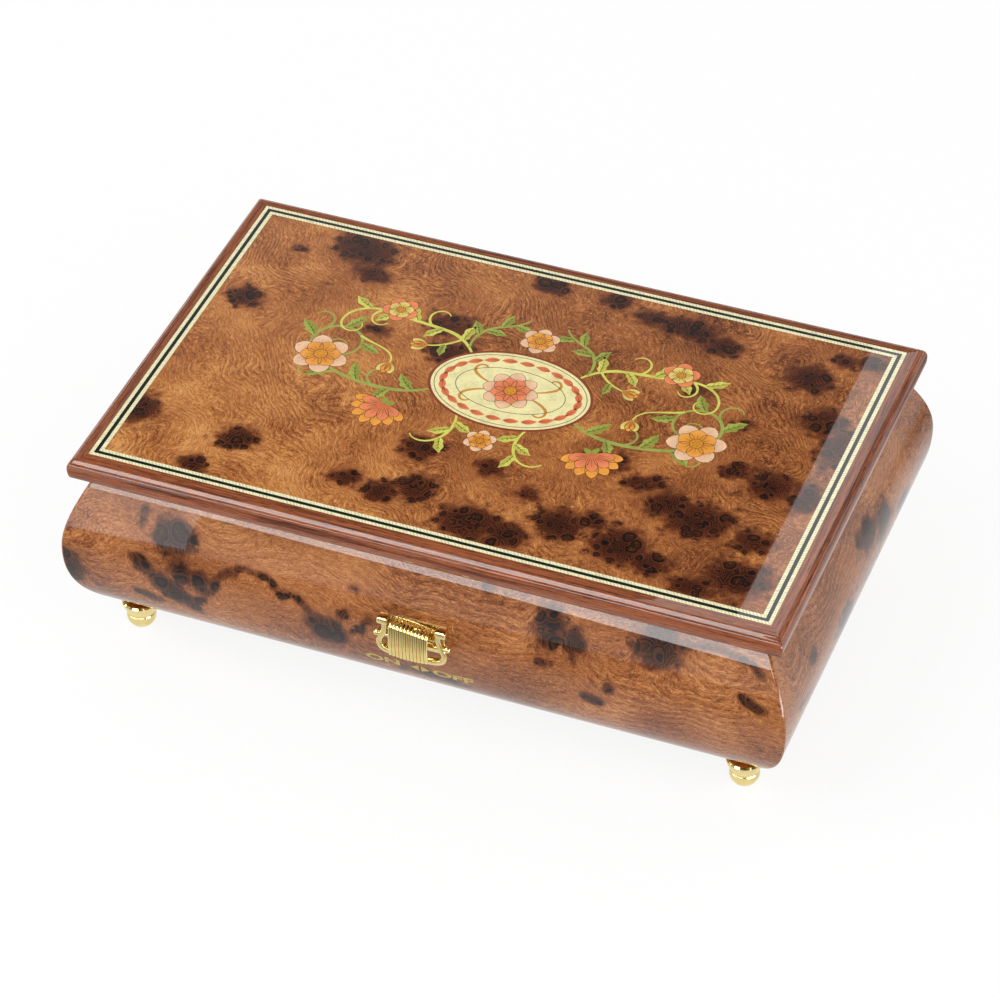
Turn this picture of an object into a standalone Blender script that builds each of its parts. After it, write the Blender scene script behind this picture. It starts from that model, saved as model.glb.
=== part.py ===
"""Inlaid musical box: a bombe wooden case on brass feet, a hinged lid and a cylinder movement.

Units are metres, +Z is up. The origin is on the table, under the middle of the whole box, and
the front, with its brass lever, faces -Y. Every outline of the case and the lid is an offset
from one rectangle, the outer edge of the pale line that is inlaid in the lid.
"""

import math

import bmesh
import bpy
from mathutils import Matrix

mm = 0.001

# Clearance between pieces that touch, and between shafts and their bores
gap = 0.3 * mm

# Points of a joined shape that lie this close, in millimetres, are one point
weld = 0.0005

# How far a cutter reaches past the face that it opens, and shapes that are joined overlap
past = 1.0 * mm
bite = 0.2 * mm

# The reference rectangle and the height of the closed box
line_length = 288.0 * mm
line_width = 177.6 * mm
lid_top = 98.0 * mm

# Case: outline of the swelling sides, walls and base
case_bottom = 14.3 * mm
rim_offset = -2.3 * mm
belly_offset = 11.0 * mm
belly_height = 52.0 * mm
underside_offset = -8.5 * mm
rim_pull = (6.7 * mm, -12.3 * mm)
belly_pull_up = 13.0 * mm
belly_pull_down = -16.0 * mm
underside_pull = (12.1 * mm, 11.5 * mm)
curve_steps = 7
wall_inset = 14.0 * mm
base_thickness = 5.0 * mm

# Compartments beside the movement
partition_thickness = 5.0 * mm
bay_half_length = 96.0 * mm
partition_drop = 3.7 * mm
glass_ledge = 2.5 * mm
glass_drop = 8.2 * mm
glass_thickness = 2.5 * mm
felt_thickness = 1.0 * mm

# Lid: board, mouldings, veneers and lining
lid_thickness = 9.3 * mm
lid_rise = 0.5 * mm
lid_edge_offset = 6.2 * mm
lid_nose_offset = 7.1 * mm
lid_nose_drop = 5.0 * mm
lid_flat_offset = 3.3 * mm
veneer_thickness = 0.6 * mm
inlay_carrier_thickness = 0.3 * mm
outer_line_width = 1.6 * mm
black_line_width = 1.3 * mm
inner_line_width = 1.9 * mm
lining_thickness = 0.9 * mm
lining_clearance = 1.5 * mm

# Inlaid ornament in the lid
medallion_length = 44.0 * mm
medallion_width = 34.0 * mm
wreath_length = 128.0 * mm
wreath_width = 62.0 * mm
wreath_leaves = 14
leaf_length = 17.0 * mm
leaf_width = 6.0 * mm
flower_radius = 6.5 * mm
flower_spread = 84.0 * mm
flower_leaf_shift = 2.0 * mm
flower_leaf_clearance = 1.5 * mm
flower_points = 5
flower_dip_share = 0.72
wreath_lean = 0.35
flower_leaf_lean = 0.3

# Hinges
hinge_spacing = 150.0 * mm
hinge_length = 25.0 * mm
hinge_leaf_depth = 9.6 * mm
hinge_leaf_thickness = 1.0 * mm
hinge_axis_offset = 2.5 * mm
knuckle_radius = 2.3 * mm
hinge_pin_radius = 0.9 * mm
hinge_middle_share = 0.34
hinge_tongue_share = 0.7
hinge_screw_spread = 8.0 * mm
hinge_plate_clearance = 0.4 * mm

# Turned feet
foot_inset = 11.5 * mm
foot_ball_radius = 6.25 * mm
foot_ball_height = 5.9 * mm
foot_groove_radius = 5.3 * mm
foot_groove_height = 8.9 * mm
foot_groove_half = 0.7 * mm
foot_flare_rise = 1.5 * mm
foot_fillet = 0.3 * mm
foot_cup_radius = 7.4 * mm
foot_cup_height = 12.6 * mm
foot_collar_radius = 5.0 * mm
foot_stud_radius = 2.0 * mm
foot_stud_length = 4.2 * mm

# Screws and studs
hinge_screw_radius = 0.9 * mm
hinge_screw_length = 5.0 * mm
comb_screw_radius = 1.3 * mm
comb_screw_length = 9.0 * mm
comb_screw_head = 2.4 * mm
comb_screw_head_height = 2.0 * mm
comb_screw_chamfer = 0.4 * mm
comb_screw_slot = 0.8 * mm
bed_stud_radius = 2.0 * mm
bed_stud_length = 4.0 * mm

# Sliding lever on the front
lever_centre = 1.9 * mm
lever_travel = 4.4 * mm
lever_plane_offset = 16.6 * mm
lyre_thickness = 2.4 * mm
lyre_arm_width = 2.4 * mm
lyre_base_height = 49.4 * mm
lyre_height = 14.8 * mm
lyre_belly_half = 13.4 * mm
lyre_waist_half = 11.3 * mm
lyre_foot_curl = 1.8 * mm
lyre_belly_rise = 4.8 * mm
lyre_foot_flat_share = 0.62
lyre_foot_round_share = 0.93
hook_length = 4.8 * mm
hook_depth = 4.4 * mm
hook_height = 3.2 * mm
hook_drop = 0.6 * mm
hook_round = 0.7 * mm
crossbar_rise = 8.6 * mm
crossbar_radius = 1.1 * mm
crossbar_ball_radius = 1.5 * mm
crossbar_half = 14.2 * mm
stem_width = 3.5 * mm
stem_height = 3.2 * mm
string_count = 11
string_pitch = 1.5 * mm
string_depth = 2.0 * mm
string_rise = 1.2 * mm
string_length = 15.4 * mm
string_return = 5.0 * mm
string_bar_height = 1.3 * mm
string_bar_share = 0.55
string_bar_seat_share = 0.6

# One string's round front, as shares of the strings' pitch and depth
string_front = ((0.04, 0.55), (0.28, 0.92), (0.5, 1.0), (0.72, 0.92), (0.96, 0.55))

# Plate round the lever's slot, and the slide behind the front
slot_plate_half = 14.0 * mm
slot_plate_margin = 0.4 * mm
slot_plate_thickness = 0.6 * mm
slide_height = 6.4 * mm
slide_thickness = 1.6 * mm
slide_tail_share = 2.5
stop_finger_width = 3.0 * mm

# Movement: bedplate and cylinder
bed_thickness = 4.0 * mm
bed_corner = 4.0 * mm
bed_clearance = 4.0 * mm
bed_front = -39.0 * mm
bed_back = 38.0 * mm
bed_screw_inset = 6.0 * mm
bed_screw_rows = (-32.0 * mm, 32.0 * mm)
axis_rise = 22.0 * mm
cylinder_y = 8.0 * mm
cylinder_radius = 14.0 * mm
cylinder_left_clearance = 3.0 * mm
cylinder_right_clearance = 7.0 * mm
arbor_radius = 2.2 * mm
arbor_overhang = 4.0 * mm
arbor_end = 1.5 * mm
bracket_thickness = 3.0 * mm
bracket_half_width = 8.0 * mm
bracket_crown = 5.5 * mm
bracket_corner_share = 0.45
pin_height = 0.7 * mm
pin_width = 0.45 * mm
pin_stride = 29

# Comb
comb_teeth = 72
comb_tooth_share = 0.66
comb_tooth_length = 17.0 * mm
comb_depth = 27.0 * mm
comb_base_setback = 0.6 * mm
comb_thickness = 1.4 * mm
comb_tip_clearance = 0.35 * mm
comb_screw_end = 11.0 * mm
comb_screw_inset = 5.0 * mm

# Gears: teeth, module and face width
drive_module = 1.0 * mm
drive_pinion_teeth = 12
drive_crown_teeth = 36
drive_face = 3.0 * mm
train_module = 0.6 * mm
train_wheel_teeth = 60
train_pinion_teeth = 12
train_face = 2.5 * mm
train_end_clearance = 2.3 * mm
train_slack = 0.15 * mm
worm_module = 0.5 * mm
worm_wheel_teeth = 30
worm_starts = 2
worm_pitch_radius = 2.5 * mm
worm_face = 2.4 * mm
worm_slack = 0.1 * mm
worm_turn_steps = 14

# Heights and depths of teeth in modules, and their widths as shares of the pitch
tooth_addendum = 0.9
tooth_dedendum = 1.3
tooth_slope = 0.36
drive_tooth_dedendum = 1.15
drive_tooth_share = 0.38
train_tooth_share = 0.4
worm_wheel_tooth_share = 0.3
crown_depth = 1.3
crown_height = 2.2
crown_root_share = 0.48
crown_tip_share = 0.18
worm_core_depth = 1.15
worm_crest_height = 0.85
worm_root_share = 0.36
worm_crest_share = 0.14

# Spring barrel and winding
barrel_radius = 20.0 * mm
barrel_inset = 26.0 * mm
barrel_wall = 4.0 * mm
barrel_top_thickness = 3.0 * mm
barrel_lift = 1.0 * mm
barrel_cover_thickness = 1.5 * mm
mainspring_turns = 5
mainspring_thickness = 0.6 * mm
winding_arbor_radius = 3.0 * mm
cock_half_width = 6.0 * mm
cock_thickness = 2.5 * mm
cock_clearance = 0.8 * mm
cock_post = 6.0 * mm
cock_post_clearance = 2.0 * mm
key_hub_radius = 4.6 * mm
key_bottom = 2.6 * mm
key_top = 13.6 * mm
key_socket = 6.0 * mm
key_wing_reach = 9.0 * mm
key_wing_radius = 4.6 * mm
key_wing_sides = 12
key_thickness = 2.2 * mm
key_web_share = 0.55
key_web_thickness_share = 0.9

# Governor with its fan
governor_arbor_radius = 1.2 * mm
pivot_end = 0.5 * mm
governor_plate_inset = 12.0 * mm
governor_wheel_inset = 5.0 * mm
governor_bay = 15.0 * mm
governor_plate_thickness = 2.5 * mm
governor_plate_half = 4.3 * mm
fan_arbor_radius = 0.8 * mm
fan_radius = 7.0 * mm
fan_blade_thickness = 0.5 * mm
fan_bottom_rise = 8.6 * mm
fan_height = 7.5 * mm
worm_length = 6.0 * mm
frame_low_arm = -13.6 * mm
frame_high_arm = 18.4 * mm
frame_arm_thickness = 2.5 * mm
frame_half_width = 3.0 * mm
frame_column = 3.0 * mm
frame_reach = 10.2 * mm
frame_arm_nose = 3.3 * mm

# Sizes worked out from the ones above
half_length = line_length / 2
half_width = line_width / 2
lever_reach = lever_plane_offset + lyre_thickness / 2 + gap + string_depth
case_shift = (lever_reach - belly_offset) / 2
floor_height = case_bottom + base_thickness
inner_half_length = half_length - wall_inset
inner_half_width = half_width - wall_inset
lid_underside = lid_top - lid_thickness
case_rim = lid_underside - lid_rise
partition_top = case_rim - partition_drop
glass_height = case_rim - glass_drop
carrier_top = lid_top - veneer_thickness - gap
board_top = carrier_top - inlay_carrier_thickness - gap
hinge_y = half_width + hinge_axis_offset
hinge_z = case_rim + lid_rise / 2
bed_top = floor_height + gap + bed_thickness
axis_z = bed_top + axis_rise
bed_half_length = bay_half_length - bed_clearance
bed_screw_half = bed_half_length - bed_screw_inset
barrel_x = -(bay_half_length - barrel_inset)
crown_root = axis_z - drive_pinion_teeth * drive_module / 2 - crown_depth * drive_module
crown_tip = crown_root + crown_height * drive_module
drive_pinion_x = barrel_x + drive_crown_teeth * drive_module / 2
arbor_left = drive_pinion_x - arbor_overhang
left_bracket_x = drive_pinion_x + 2 * bracket_thickness
cylinder_left = left_bracket_x + bracket_thickness + cylinder_left_clearance
governor_plate_x = bay_half_length - governor_plate_inset
governor_wheel_x = governor_plate_x - governor_wheel_inset
right_bracket_x = governor_plate_x - governor_bay
cylinder_right = right_bracket_x - cylinder_right_clearance
train_distance = (train_wheel_teeth + train_pinion_teeth) * train_module / 2 + train_slack
governor_y = cylinder_y - train_distance
fan_y = governor_y - worm_wheel_teeth * worm_module / 2 - worm_pitch_radius - worm_slack
train_x = cylinder_right + train_end_clearance
lever_y = -(half_width + lever_plane_offset)
lyre_top_height = lyre_base_height + lyre_height
crossbar_height = lyre_base_height + crossbar_rise
string_bottom = lyre_base_height + string_rise
string_top = string_bottom + string_length
slot_plate_bottom = lyre_base_height - slot_plate_margin
slot_plate_top = string_top


# Scene, materials and parents

def clear_scene():
    for item in list(bpy.data.objects):
        bpy.data.objects.remove(item, do_unlink=True)


def make_finish(name, colour, roughness, metallic=0.0, transmission=0.0):
    finish = bpy.data.materials.new(name)
    finish.use_nodes = True
    shader = finish.node_tree.nodes["Principled BSDF"]
    shader.inputs["Base Color"].default_value = (*colour, 1.0)
    shader.inputs["Roughness"].default_value = roughness
    shader.inputs["Metallic"].default_value = metallic
    shader.inputs["Transmission Weight"].default_value = transmission
    finish.diffuse_color = (*colour, 1.0)
    return finish


def make_finishes():
    return {
        "burl": make_finish("burl_veneer", (0.42, 0.16, 0.04), 0.12),
        "rosewood": make_finish("rosewood", (0.22, 0.07, 0.04), 0.12),
        "pale_line": make_finish("pale_line", (0.85, 0.68, 0.38), 0.2),
        "black_line": make_finish("black_line", (0.02, 0.015, 0.012), 0.2),
        "marquetry": make_finish("marquetry", (0.83, 0.58, 0.28), 0.2),
        "inner_wood": make_finish("inner_wood", (0.35, 0.2, 0.1), 0.5),
        "felt": make_finish("felt", (0.03, 0.05, 0.16), 0.95),
        "brass": make_finish("brass", (0.8, 0.58, 0.22), 0.2, 1.0),
        "steel": make_finish("steel", (0.6, 0.6, 0.62), 0.25, 1.0),
        "glass": make_finish("glass", (0.95, 0.98, 0.97), 0.02, 0.0, 1.0),
    }


def make_axis(name, place, parent=None):
    axis = bpy.data.objects.new(name, None)
    axis.location = place
    axis.parent = parent
    bpy.context.collection.objects.link(axis)
    return axis


# Shapes, all written in the case's own frame

def solid_from(builder):
    bmesh.ops.recalc_face_normals(builder, faces=builder.faces)
    mesh = bpy.data.meshes.new("shape")
    builder.to_mesh(mesh)
    builder.free()
    shape = bpy.data.objects.new("shape", mesh)
    bpy.context.collection.objects.link(shape)
    return shape


def on_plane(axis, along, across, height):
    """A point of an outline that is drawn square to an axis."""
    if axis == "X":
        return (height, along, across)
    if axis == "Y":
        return (along, height, across)
    return (along, across, height)


def add_prism(builder, outline, low, high, axis="Z"):
    corners = [builder.verts.new(on_plane(axis, a, b, low)) for a, b in outline]
    face = builder.faces.new(corners)
    grown = bmesh.ops.extrude_face_region(builder, geom=[face])
    moved = [item for item in grown["geom"] if isinstance(item, bmesh.types.BMVert)]
    bmesh.ops.translate(builder, verts=moved, vec=on_plane(axis, 0, 0, high - low))


def prism(outline, low, high, axis="Z"):
    builder = bmesh.new()
    add_prism(builder, outline, low, high, axis)
    return solid_from(builder)


def rectangle(x_low, x_high, y_low, y_high):
    return [(x_low, y_low), (x_high, y_low), (x_high, y_high), (x_low, y_high)]


def box(x_low, x_high, y_low, y_high, z_low, z_high):
    return prism(rectangle(x_low, x_high, y_low, y_high), z_low, z_high)


def centred_rectangle(offset):
    x = half_length + offset
    y = half_width + offset
    return rectangle(-x, x, -y, y)


def add_turned(builder, profile, sides, centre=(0, 0, 0), axis="Z"):
    """Spins (radius, height) points; a profile that leaves the axis is closed into a ring."""
    along = {"X": Matrix.Rotation(math.pi / 2, 4, "Y"), "Z": Matrix.Identity(4)}[axis]
    place = Matrix.Translation(centre) @ along
    points = [builder.verts.new((radius, 0, height)) for radius, height in profile]
    edges = [builder.edges.new(pair) for pair in zip(points, points[1:])]
    if profile[0][0] > 0:
        edges.append(builder.edges.new((points[-1], points[0])))
    bmesh.ops.spin(builder, geom=points + edges, cent=(0, 0, 0), axis=(0, 0, 1),
                   angle=2 * math.pi, steps=sides, use_merge=True)
    bmesh.ops.remove_doubles(builder, verts=[v for v in builder.verts if not v.tag], dist=1e-6)
    bmesh.ops.transform(builder, matrix=place, verts=[v for v in builder.verts if not v.tag])
    for vert in builder.verts:
        vert.tag = True


def turned(profile, sides, centre=(0, 0, 0), axis="Z"):
    builder = bmesh.new()
    add_turned(builder, profile, sides, centre, axis)
    return solid_from(builder)


def rod(radius, low, high, sides, centre=(0, 0, 0), axis="Z"):
    return turned([(0, low), (radius, low), (radius, high), (0, high)], sides, centre, axis)


def tube(inner, outer, low, high, sides, centre=(0, 0, 0), axis="Z"):
    ring = [(inner, low), (outer, low), (outer, high), (inner, high)]
    return turned(ring, sides, centre, axis)


def combine(target, tool, operation):
    """Joins or cuts two shapes, worked in millimetres because metres round off small facets."""
    for shape in (target, tool):
        shape.data.transform(Matrix.Scale(1 / mm, 4))
    step = target.modifiers.new(operation.lower(), "BOOLEAN")
    step.operation = operation
    step.solver = "EXACT"
    step.object = tool
    bpy.context.view_layer.update()
    seen = target.evaluated_get(bpy.context.evaluated_depsgraph_get())
    result = bpy.data.meshes.new_from_object(seen)
    target.modifiers.clear()
    target.data = result
    bpy.data.objects.remove(tool, do_unlink=True)
    builder = bmesh.new()
    builder.from_mesh(result)
    bmesh.ops.dissolve_degenerate(builder, edges=builder.edges[:], dist=weld)
    bmesh.ops.remove_doubles(builder, verts=builder.verts[:], dist=weld)
    bmesh.ops.scale(builder, vec=(mm, mm, mm), verts=builder.verts[:])
    builder.to_mesh(result)
    builder.free()


def cut(target, *tools):
    for tool in tools:
        combine(target, tool, "DIFFERENCE")


def unite(target, *tools):
    for tool in tools:
        combine(target, tool, "UNION")


def finish_piece(shape, name, finish, parent, smooth_angle=None):
    """Names a shape, gives it its finish and hangs it on its body's axis."""
    shape.name = name
    shape.data.name = name
    shape.data.materials.clear()
    shape.data.materials.append(finish)
    origin = parent.location if parent.parent else parent.location * 0
    shape.data.transform(Matrix.Translation(-origin))
    shape.parent = parent
    if smooth_angle is not None:
        shape.data.shade_smooth()
        shape.data.set_sharp_from_angle(angle=math.radians(smooth_angle))
    return shape


# Curves

def bezier(start, pull_start, pull_end, end, steps):
    points = []
    for step in range(steps + 1):
        t = step / steps
        weights = ((1 - t) ** 3, 3 * t * (1 - t) ** 2, 3 * t * t * (1 - t), t ** 3)
        nodes = (start, pull_start, pull_end, end)
        points.append(tuple(sum(w * p[i] for w, p in zip(weights, nodes)) for i in (0, 1)))
    return points


def case_curve():
    """The bombe outline as (offset, height) points from the rim down to the underside."""
    rim = (rim_offset, case_rim)
    belly = (belly_offset, belly_height)
    foot = (underside_offset, case_bottom)
    rim_handle = (rim[0] + rim_pull[0], rim[1] + rim_pull[1])
    foot_handle = (foot[0] + underside_pull[0], foot[1] + underside_pull[1])
    above = (belly[0], belly[1] + belly_pull_up)
    below = (belly[0], belly[1] + belly_pull_down)
    upper = bezier(rim, rim_handle, above, belly, curve_steps)
    lower = bezier(belly, below, foot_handle, foot, curve_steps)
    return upper + lower[1:]


def offset_at(height):
    points = case_curve()
    for (o_high, z_high), (o_low, z_low) in zip(points, points[1:]):
        if z_low <= height <= z_high:
            return o_low + (o_high - o_low) * (height - z_low) / (z_high - z_low)
    return points[0][0] if height > points[0][1] else points[-1][0]


def curve_between(low, high):
    inside = [p for p in case_curve() if low < p[1] < high]
    return [(offset_at(high), high)] + inside + [(offset_at(low), low)]


def arc(centre, radii, first, last, steps):
    """Points on an ellipse; angles in degrees from the first axis to the second."""
    points = []
    for step in range(steps + 1):
        angle = math.radians(first + (last - first) * step / steps)
        points.append((centre[0] + radii[0] * math.cos(angle),
                       centre[1] + radii[1] * math.sin(angle)))
    return points


def smooth_path(points, steps):
    """A rounded path through the given points."""
    ends = [points[0]] + points + [points[-1]]
    path = []
    for before, start, end, after in zip(ends, ends[1:], ends[2:], ends[3:]):
        for step in range(steps):
            t = step / steps
            path.append(tuple(
                start[i] + 0.5 * t * (end[i] - before[i]
                                      + t * (2 * before[i] - 5 * start[i] + 4 * end[i] - after[i]
                                             + t * (3 * (start[i] - end[i]) + after[i] - before[i])))
                for i in (0, 1)))
    return path + [points[-1]]


def band(path, width):
    """The outline of a strip of even width along a path."""
    left = []
    right = []
    for index, point in enumerate(path):
        ahead = path[min(index + 1, len(path) - 1)]
        behind = path[max(index - 1, 0)]
        run = (ahead[0] - behind[0], ahead[1] - behind[1])
        size = math.hypot(*run)
        side = (-run[1] / size * width / 2, run[0] / size * width / 2)
        left.append((point[0] + side[0], point[1] + side[1]))
        right.append((point[0] - side[0], point[1] - side[1]))
    return left + right[::-1]


# Mouldings with mitred ends, for the four sides of the case and of the lid

SIDES = {"front": 0, "right": 1, "back": 2, "left": 3}


def mitred_side(profile, side):
    """A closed (offset, height) profile run along one side, cut at 45 degrees at both ends."""
    turn = SIDES[side]
    along, out = (half_length, half_width) if turn % 2 == 0 else (half_width, half_length)
    slack = gap / math.sqrt(2)
    builder = bmesh.new()
    rings = []
    for end in (-1, 1):
        rings.append([builder.verts.new((end * (along + o - slack), -(out + o), z))
                      for o, z in profile])
    builder.faces.new(rings[0])
    builder.faces.new(rings[1][::-1])
    for index in range(len(profile)):
        after = (index + 1) % len(profile)
        builder.faces.new((rings[0][index], rings[0][after], rings[1][after], rings[1][index]))
    bmesh.ops.rotate(builder, verts=builder.verts, cent=(0, 0, 0),
                     matrix=Matrix.Rotation(turn * math.pi / 2, 3, "Z"))
    return solid_from(builder)


# Case

def foot_places():
    x = half_length - foot_inset
    y = half_width - foot_inset
    return {"foot_front_left": (-x, -y), "foot_front_right": (x, -y),
            "foot_rear_left": (-x, y), "foot_rear_right": (x, y)}


def bed_studs(grow=0.0):
    """Studs under the bedplate that stand in the base board."""
    builder = bmesh.new()
    radius = bed_stud_radius + grow
    low = floor_height - bed_stud_length - grow
    high = floor_height + gap + bed_thickness / 2
    for side in (-1, 1):
        for y in bed_screw_rows:
            add_turned(builder, [(0, low), (radius, low), (radius, high), (0, high)], 12,
                       (side * bed_screw_half, y, 0))
    return solid_from(builder)


def make_base(finish, parent):
    builder = bmesh.new()
    rings = []
    for offset, height in curve_between(case_bottom, floor_height):
        rings.append([builder.verts.new((x, y, height)) for x, y in centred_rectangle(offset)])
    builder.faces.new(rings[0])
    builder.faces.new(rings[-1][::-1])
    for upper, lower in zip(rings, rings[1:]):
        for index in range(4):
            after = (index + 1) % 4
            builder.faces.new((upper[index], upper[after], lower[after], lower[index]))
    base = solid_from(builder)
    studs = bmesh.new()
    for x, y in foot_places().values():
        radius = foot_stud_radius + gap
        reach = foot_stud_length + gap
        add_turned(studs, [(0, -gap * 4), (radius, -gap * 4), (radius, reach), (0, reach)], 12,
                   (x, y, case_bottom))
    arbor_hole = rod(winding_arbor_radius + gap, -past, base_thickness + past, 20,
                     (barrel_x, cylinder_y, case_bottom))
    cut(base, solid_from(studs), arbor_hole, bed_studs(gap))
    finish_piece(base, "base_board", finish, parent)


def make_panels(finish, parent):
    bottom = floor_height + gap
    inner = [(-wall_inset, bottom), (-wall_inset, case_rim)]
    profile = curve_between(bottom, case_rim) + inner
    panels = {side: mitred_side(profile, side) for side in SIDES}
    slot_low = lever_centre - lever_travel - stem_width / 2 - 2 * gap
    slot_high = lever_centre + stem_width / 2 + 2 * gap
    cut(panels["front"], box(slot_low, slot_high, -half_width - 2 * belly_offset,
                             -inner_half_width + past,
                             crossbar_height - stem_height / 2 - gap,
                             crossbar_height + stem_height / 2 + gap))
    for x in (-hinge_spacing / 2, hinge_spacing / 2):
        reach = hinge_length / 2 + gap
        floor = hinge_z - gap - hinge_leaf_thickness - gap
        cut(panels["back"], box(x - reach, x + reach, hinge_leaf_front() - gap,
                                half_width + belly_offset, floor, case_rim + past))
        cut(panels["back"], hinge_screws(x, False, gap))
    for side, panel in panels.items():
        finish_piece(panel, side + "_panel", finish, parent, 30)


def make_feet(finish, parent):
    flat = math.sqrt(foot_ball_radius ** 2 - foot_ball_height ** 2)
    low_angle = -math.degrees(math.asin(foot_ball_height / foot_ball_radius))
    high_angle = math.degrees(math.asin(
        (foot_groove_height - foot_groove_half - foot_ball_height) / foot_ball_radius))
    ball = arc((0, foot_ball_height), (foot_ball_radius,) * 2, low_angle, high_angle, 7)
    top = case_bottom - gap
    cup_low = (foot_ball_radius - foot_fillet, foot_groove_height + foot_groove_half)
    flare = (foot_cup_radius - foot_fillet, foot_cup_height - foot_flare_rise)
    rim = (foot_cup_radius - foot_fillet, (foot_cup_height + top) / 2)
    profile = ([(0, 0), (flat, 0)] + ball[1:]
               + [(foot_groove_radius, foot_groove_height), cup_low, flare,
                  (foot_cup_radius, foot_cup_height), rim, (foot_collar_radius, top),
                  (foot_stud_radius, top), (foot_stud_radius, top + foot_stud_length),
                  (0, top + foot_stud_length)])
    for name, (x, y) in foot_places().items():
        finish_piece(turned(profile, 16, (x, y, 0)), name, finish, parent, 40)


def make_compartments(finishes, parent):
    bottom = floor_height + gap
    depth = inner_half_width - gap
    inner = bay_half_length
    outer = inner + partition_thickness
    section = [(inner, bottom), (outer, bottom), (outer, partition_top),
               (inner + glass_ledge, partition_top), (inner + glass_ledge, glass_height),
               (inner, glass_height)]
    for name, sign in (("partition_left", -1), ("partition_right", 1)):
        wall = prism([(sign * x, z) for x, z in section], -depth, depth, "Y")
        finish_piece(wall, name, finishes["inner_wood"], parent)
    pane_half = inner + glass_ledge - gap
    pane = box(-pane_half, pane_half, -depth, depth, glass_height + gap,
               glass_height + gap + glass_thickness)
    finish_piece(pane, "glass_cover", finishes["glass"], parent)
    for name, sign in (("well_felt_left", -1), ("well_felt_right", 1)):
        ends = sorted((sign * (outer + gap), sign * (inner_half_length - gap)))
        felt = box(*ends, -depth, depth, bottom, bottom + felt_thickness)
        finish_piece(felt, name, finishes["felt"], parent)


# Hinges

def hinge_leaf_back():
    return hinge_y - knuckle_radius - hinge_plate_clearance


def hinge_leaf_front():
    return hinge_leaf_back() - hinge_leaf_depth


def hinge_screw_places(x):
    middle = (hinge_leaf_front() + hinge_leaf_back()) / 2
    return [(x + step * hinge_screw_spread, middle) for step in (-1, 0, 1)]


def hinge_screws(x, above, grow=0.0):
    """The shanks and low heads of one leaf's screws, which run away from the hinge's axis."""
    away = 1 if above else -1
    face = hinge_z + away * gap
    builder = bmesh.new()
    for place in hinge_screw_places(x):
        radius = hinge_screw_radius + grow
        start = away * (hinge_leaf_thickness / 2)
        tip = away * (hinge_leaf_thickness + hinge_screw_length + grow)
        add_turned(builder, [(0, start), (radius, start), (radius, tip), (0, tip)], 8,
                   (*place, face))
    return solid_from(builder)


def hinge_leaf(x, knuckles, above):
    """One leaf: a plate, and a tongue and a knuckle for each stretch of the pin it holds."""
    near = hinge_z + gap if above else hinge_z - gap
    far = near + hinge_leaf_thickness if above else near - hinge_leaf_thickness
    z_low, z_high = sorted((near, far))
    half = hinge_length / 2 - gap / 3
    leaf = box(x - half, x + half, hinge_leaf_front(), hinge_leaf_back(), z_low, z_high)
    for low, high in knuckles:
        barrel = rod(knuckle_radius, x + low, x + high, 16, (0, hinge_y, hinge_z), "X")
        tongue = box(x + low + gap, x + high - gap, hinge_leaf_back() - past,
                     hinge_y - knuckle_radius * hinge_tongue_share, z_low + gap / 6, z_high - gap / 6)
        unite(leaf, tongue, barrel)
    bore = rod(hinge_pin_radius + gap, x - hinge_length, x + hinge_length, 16,
               (0, hinge_y, hinge_z), "X")
    cut(leaf, bore)
    unite(leaf, hinge_screws(x, above))
    return leaf


def make_hinges(finishes, root, lid):
    half = hinge_length / 2
    middle = hinge_length * hinge_middle_share / 2
    outer = [(-half, -middle - gap), (middle + gap, half)]
    centres = {"left": -hinge_spacing / 2, "right": hinge_spacing / 2}
    for side, x in centres.items():
        brass = finishes["brass"]
        finish_piece(hinge_leaf(x, outer, False), f"hinge_{side}_case_leaf", brass, root, 40)
        finish_piece(hinge_leaf(x, [(-middle, middle)], True), f"hinge_{side}_lid_leaf",
                     brass, lid, 40)
        pin = rod(hinge_pin_radius, x - half, x + half, 16, (0, hinge_y, hinge_z), "X")
        finish_piece(pin, f"hinge_{side}_pin", finishes["steel"], root, 40)


def hinge_recesses():
    """Cutters that let the leaves and the knuckles into the underside of the lid."""
    radius = knuckle_radius + 1.5 * gap
    roof = hinge_z + gap + hinge_leaf_thickness + gap
    floor = lid_underside - past
    front = hinge_leaf_front() - gap
    first = 180 - math.degrees(math.asin((roof - hinge_z) / radius))
    last = math.degrees(math.asin((floor - hinge_z) / radius))
    outline = [(front, floor), (front, roof)]
    outline += arc((hinge_y, hinge_z), (radius,) * 2, first, last, 11)
    tools = []
    for x in (-hinge_spacing / 2, hinge_spacing / 2):
        reach = hinge_length / 2 + gap
        tools.append(prism(outline, x - reach, x + reach, "X"))
        tools.append(hinge_screws(x, True, gap))
    return tools


# Lid

def line_ring(outer, inner, name, finish, lid):
    """A flat rectangular ring between two offsets, let into the lid's face."""
    ring = prism(centred_rectangle(outer), board_top + gap, lid_top)
    cut(ring, prism(centred_rectangle(inner), board_top - past, lid_top + past))
    finish_piece(ring, name, finish, lid)


def leaf_outline(x, y, angle, grow=0.0):
    """A pointed leaf about a centre, turned by an angle in radians."""
    length = leaf_length / 2 + 2 * grow
    width = leaf_width / 2 + grow
    edge = [(-length * math.cos(math.pi * step / 4), width * math.sin(math.pi * step / 4))
            for step in range(5)]
    shape = edge + [(px, -py) for px, py in edge[-2:0:-1]]
    turn_cos = math.cos(angle)
    turn_sin = math.sin(angle)
    return [(x + px * turn_cos - py * turn_sin, y + px * turn_sin + py * turn_cos)
            for px, py in shape]


def flower_outline(x, y, grow=0.0):
    points = []
    for step in range(2 * flower_points):
        radius = flower_radius * (1.0 if step % 2 == 0 else flower_dip_share) + grow
        angle = math.pi * step / flower_points
        points.append((x + radius * math.cos(angle), y + radius * math.sin(angle)))
    return points


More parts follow.
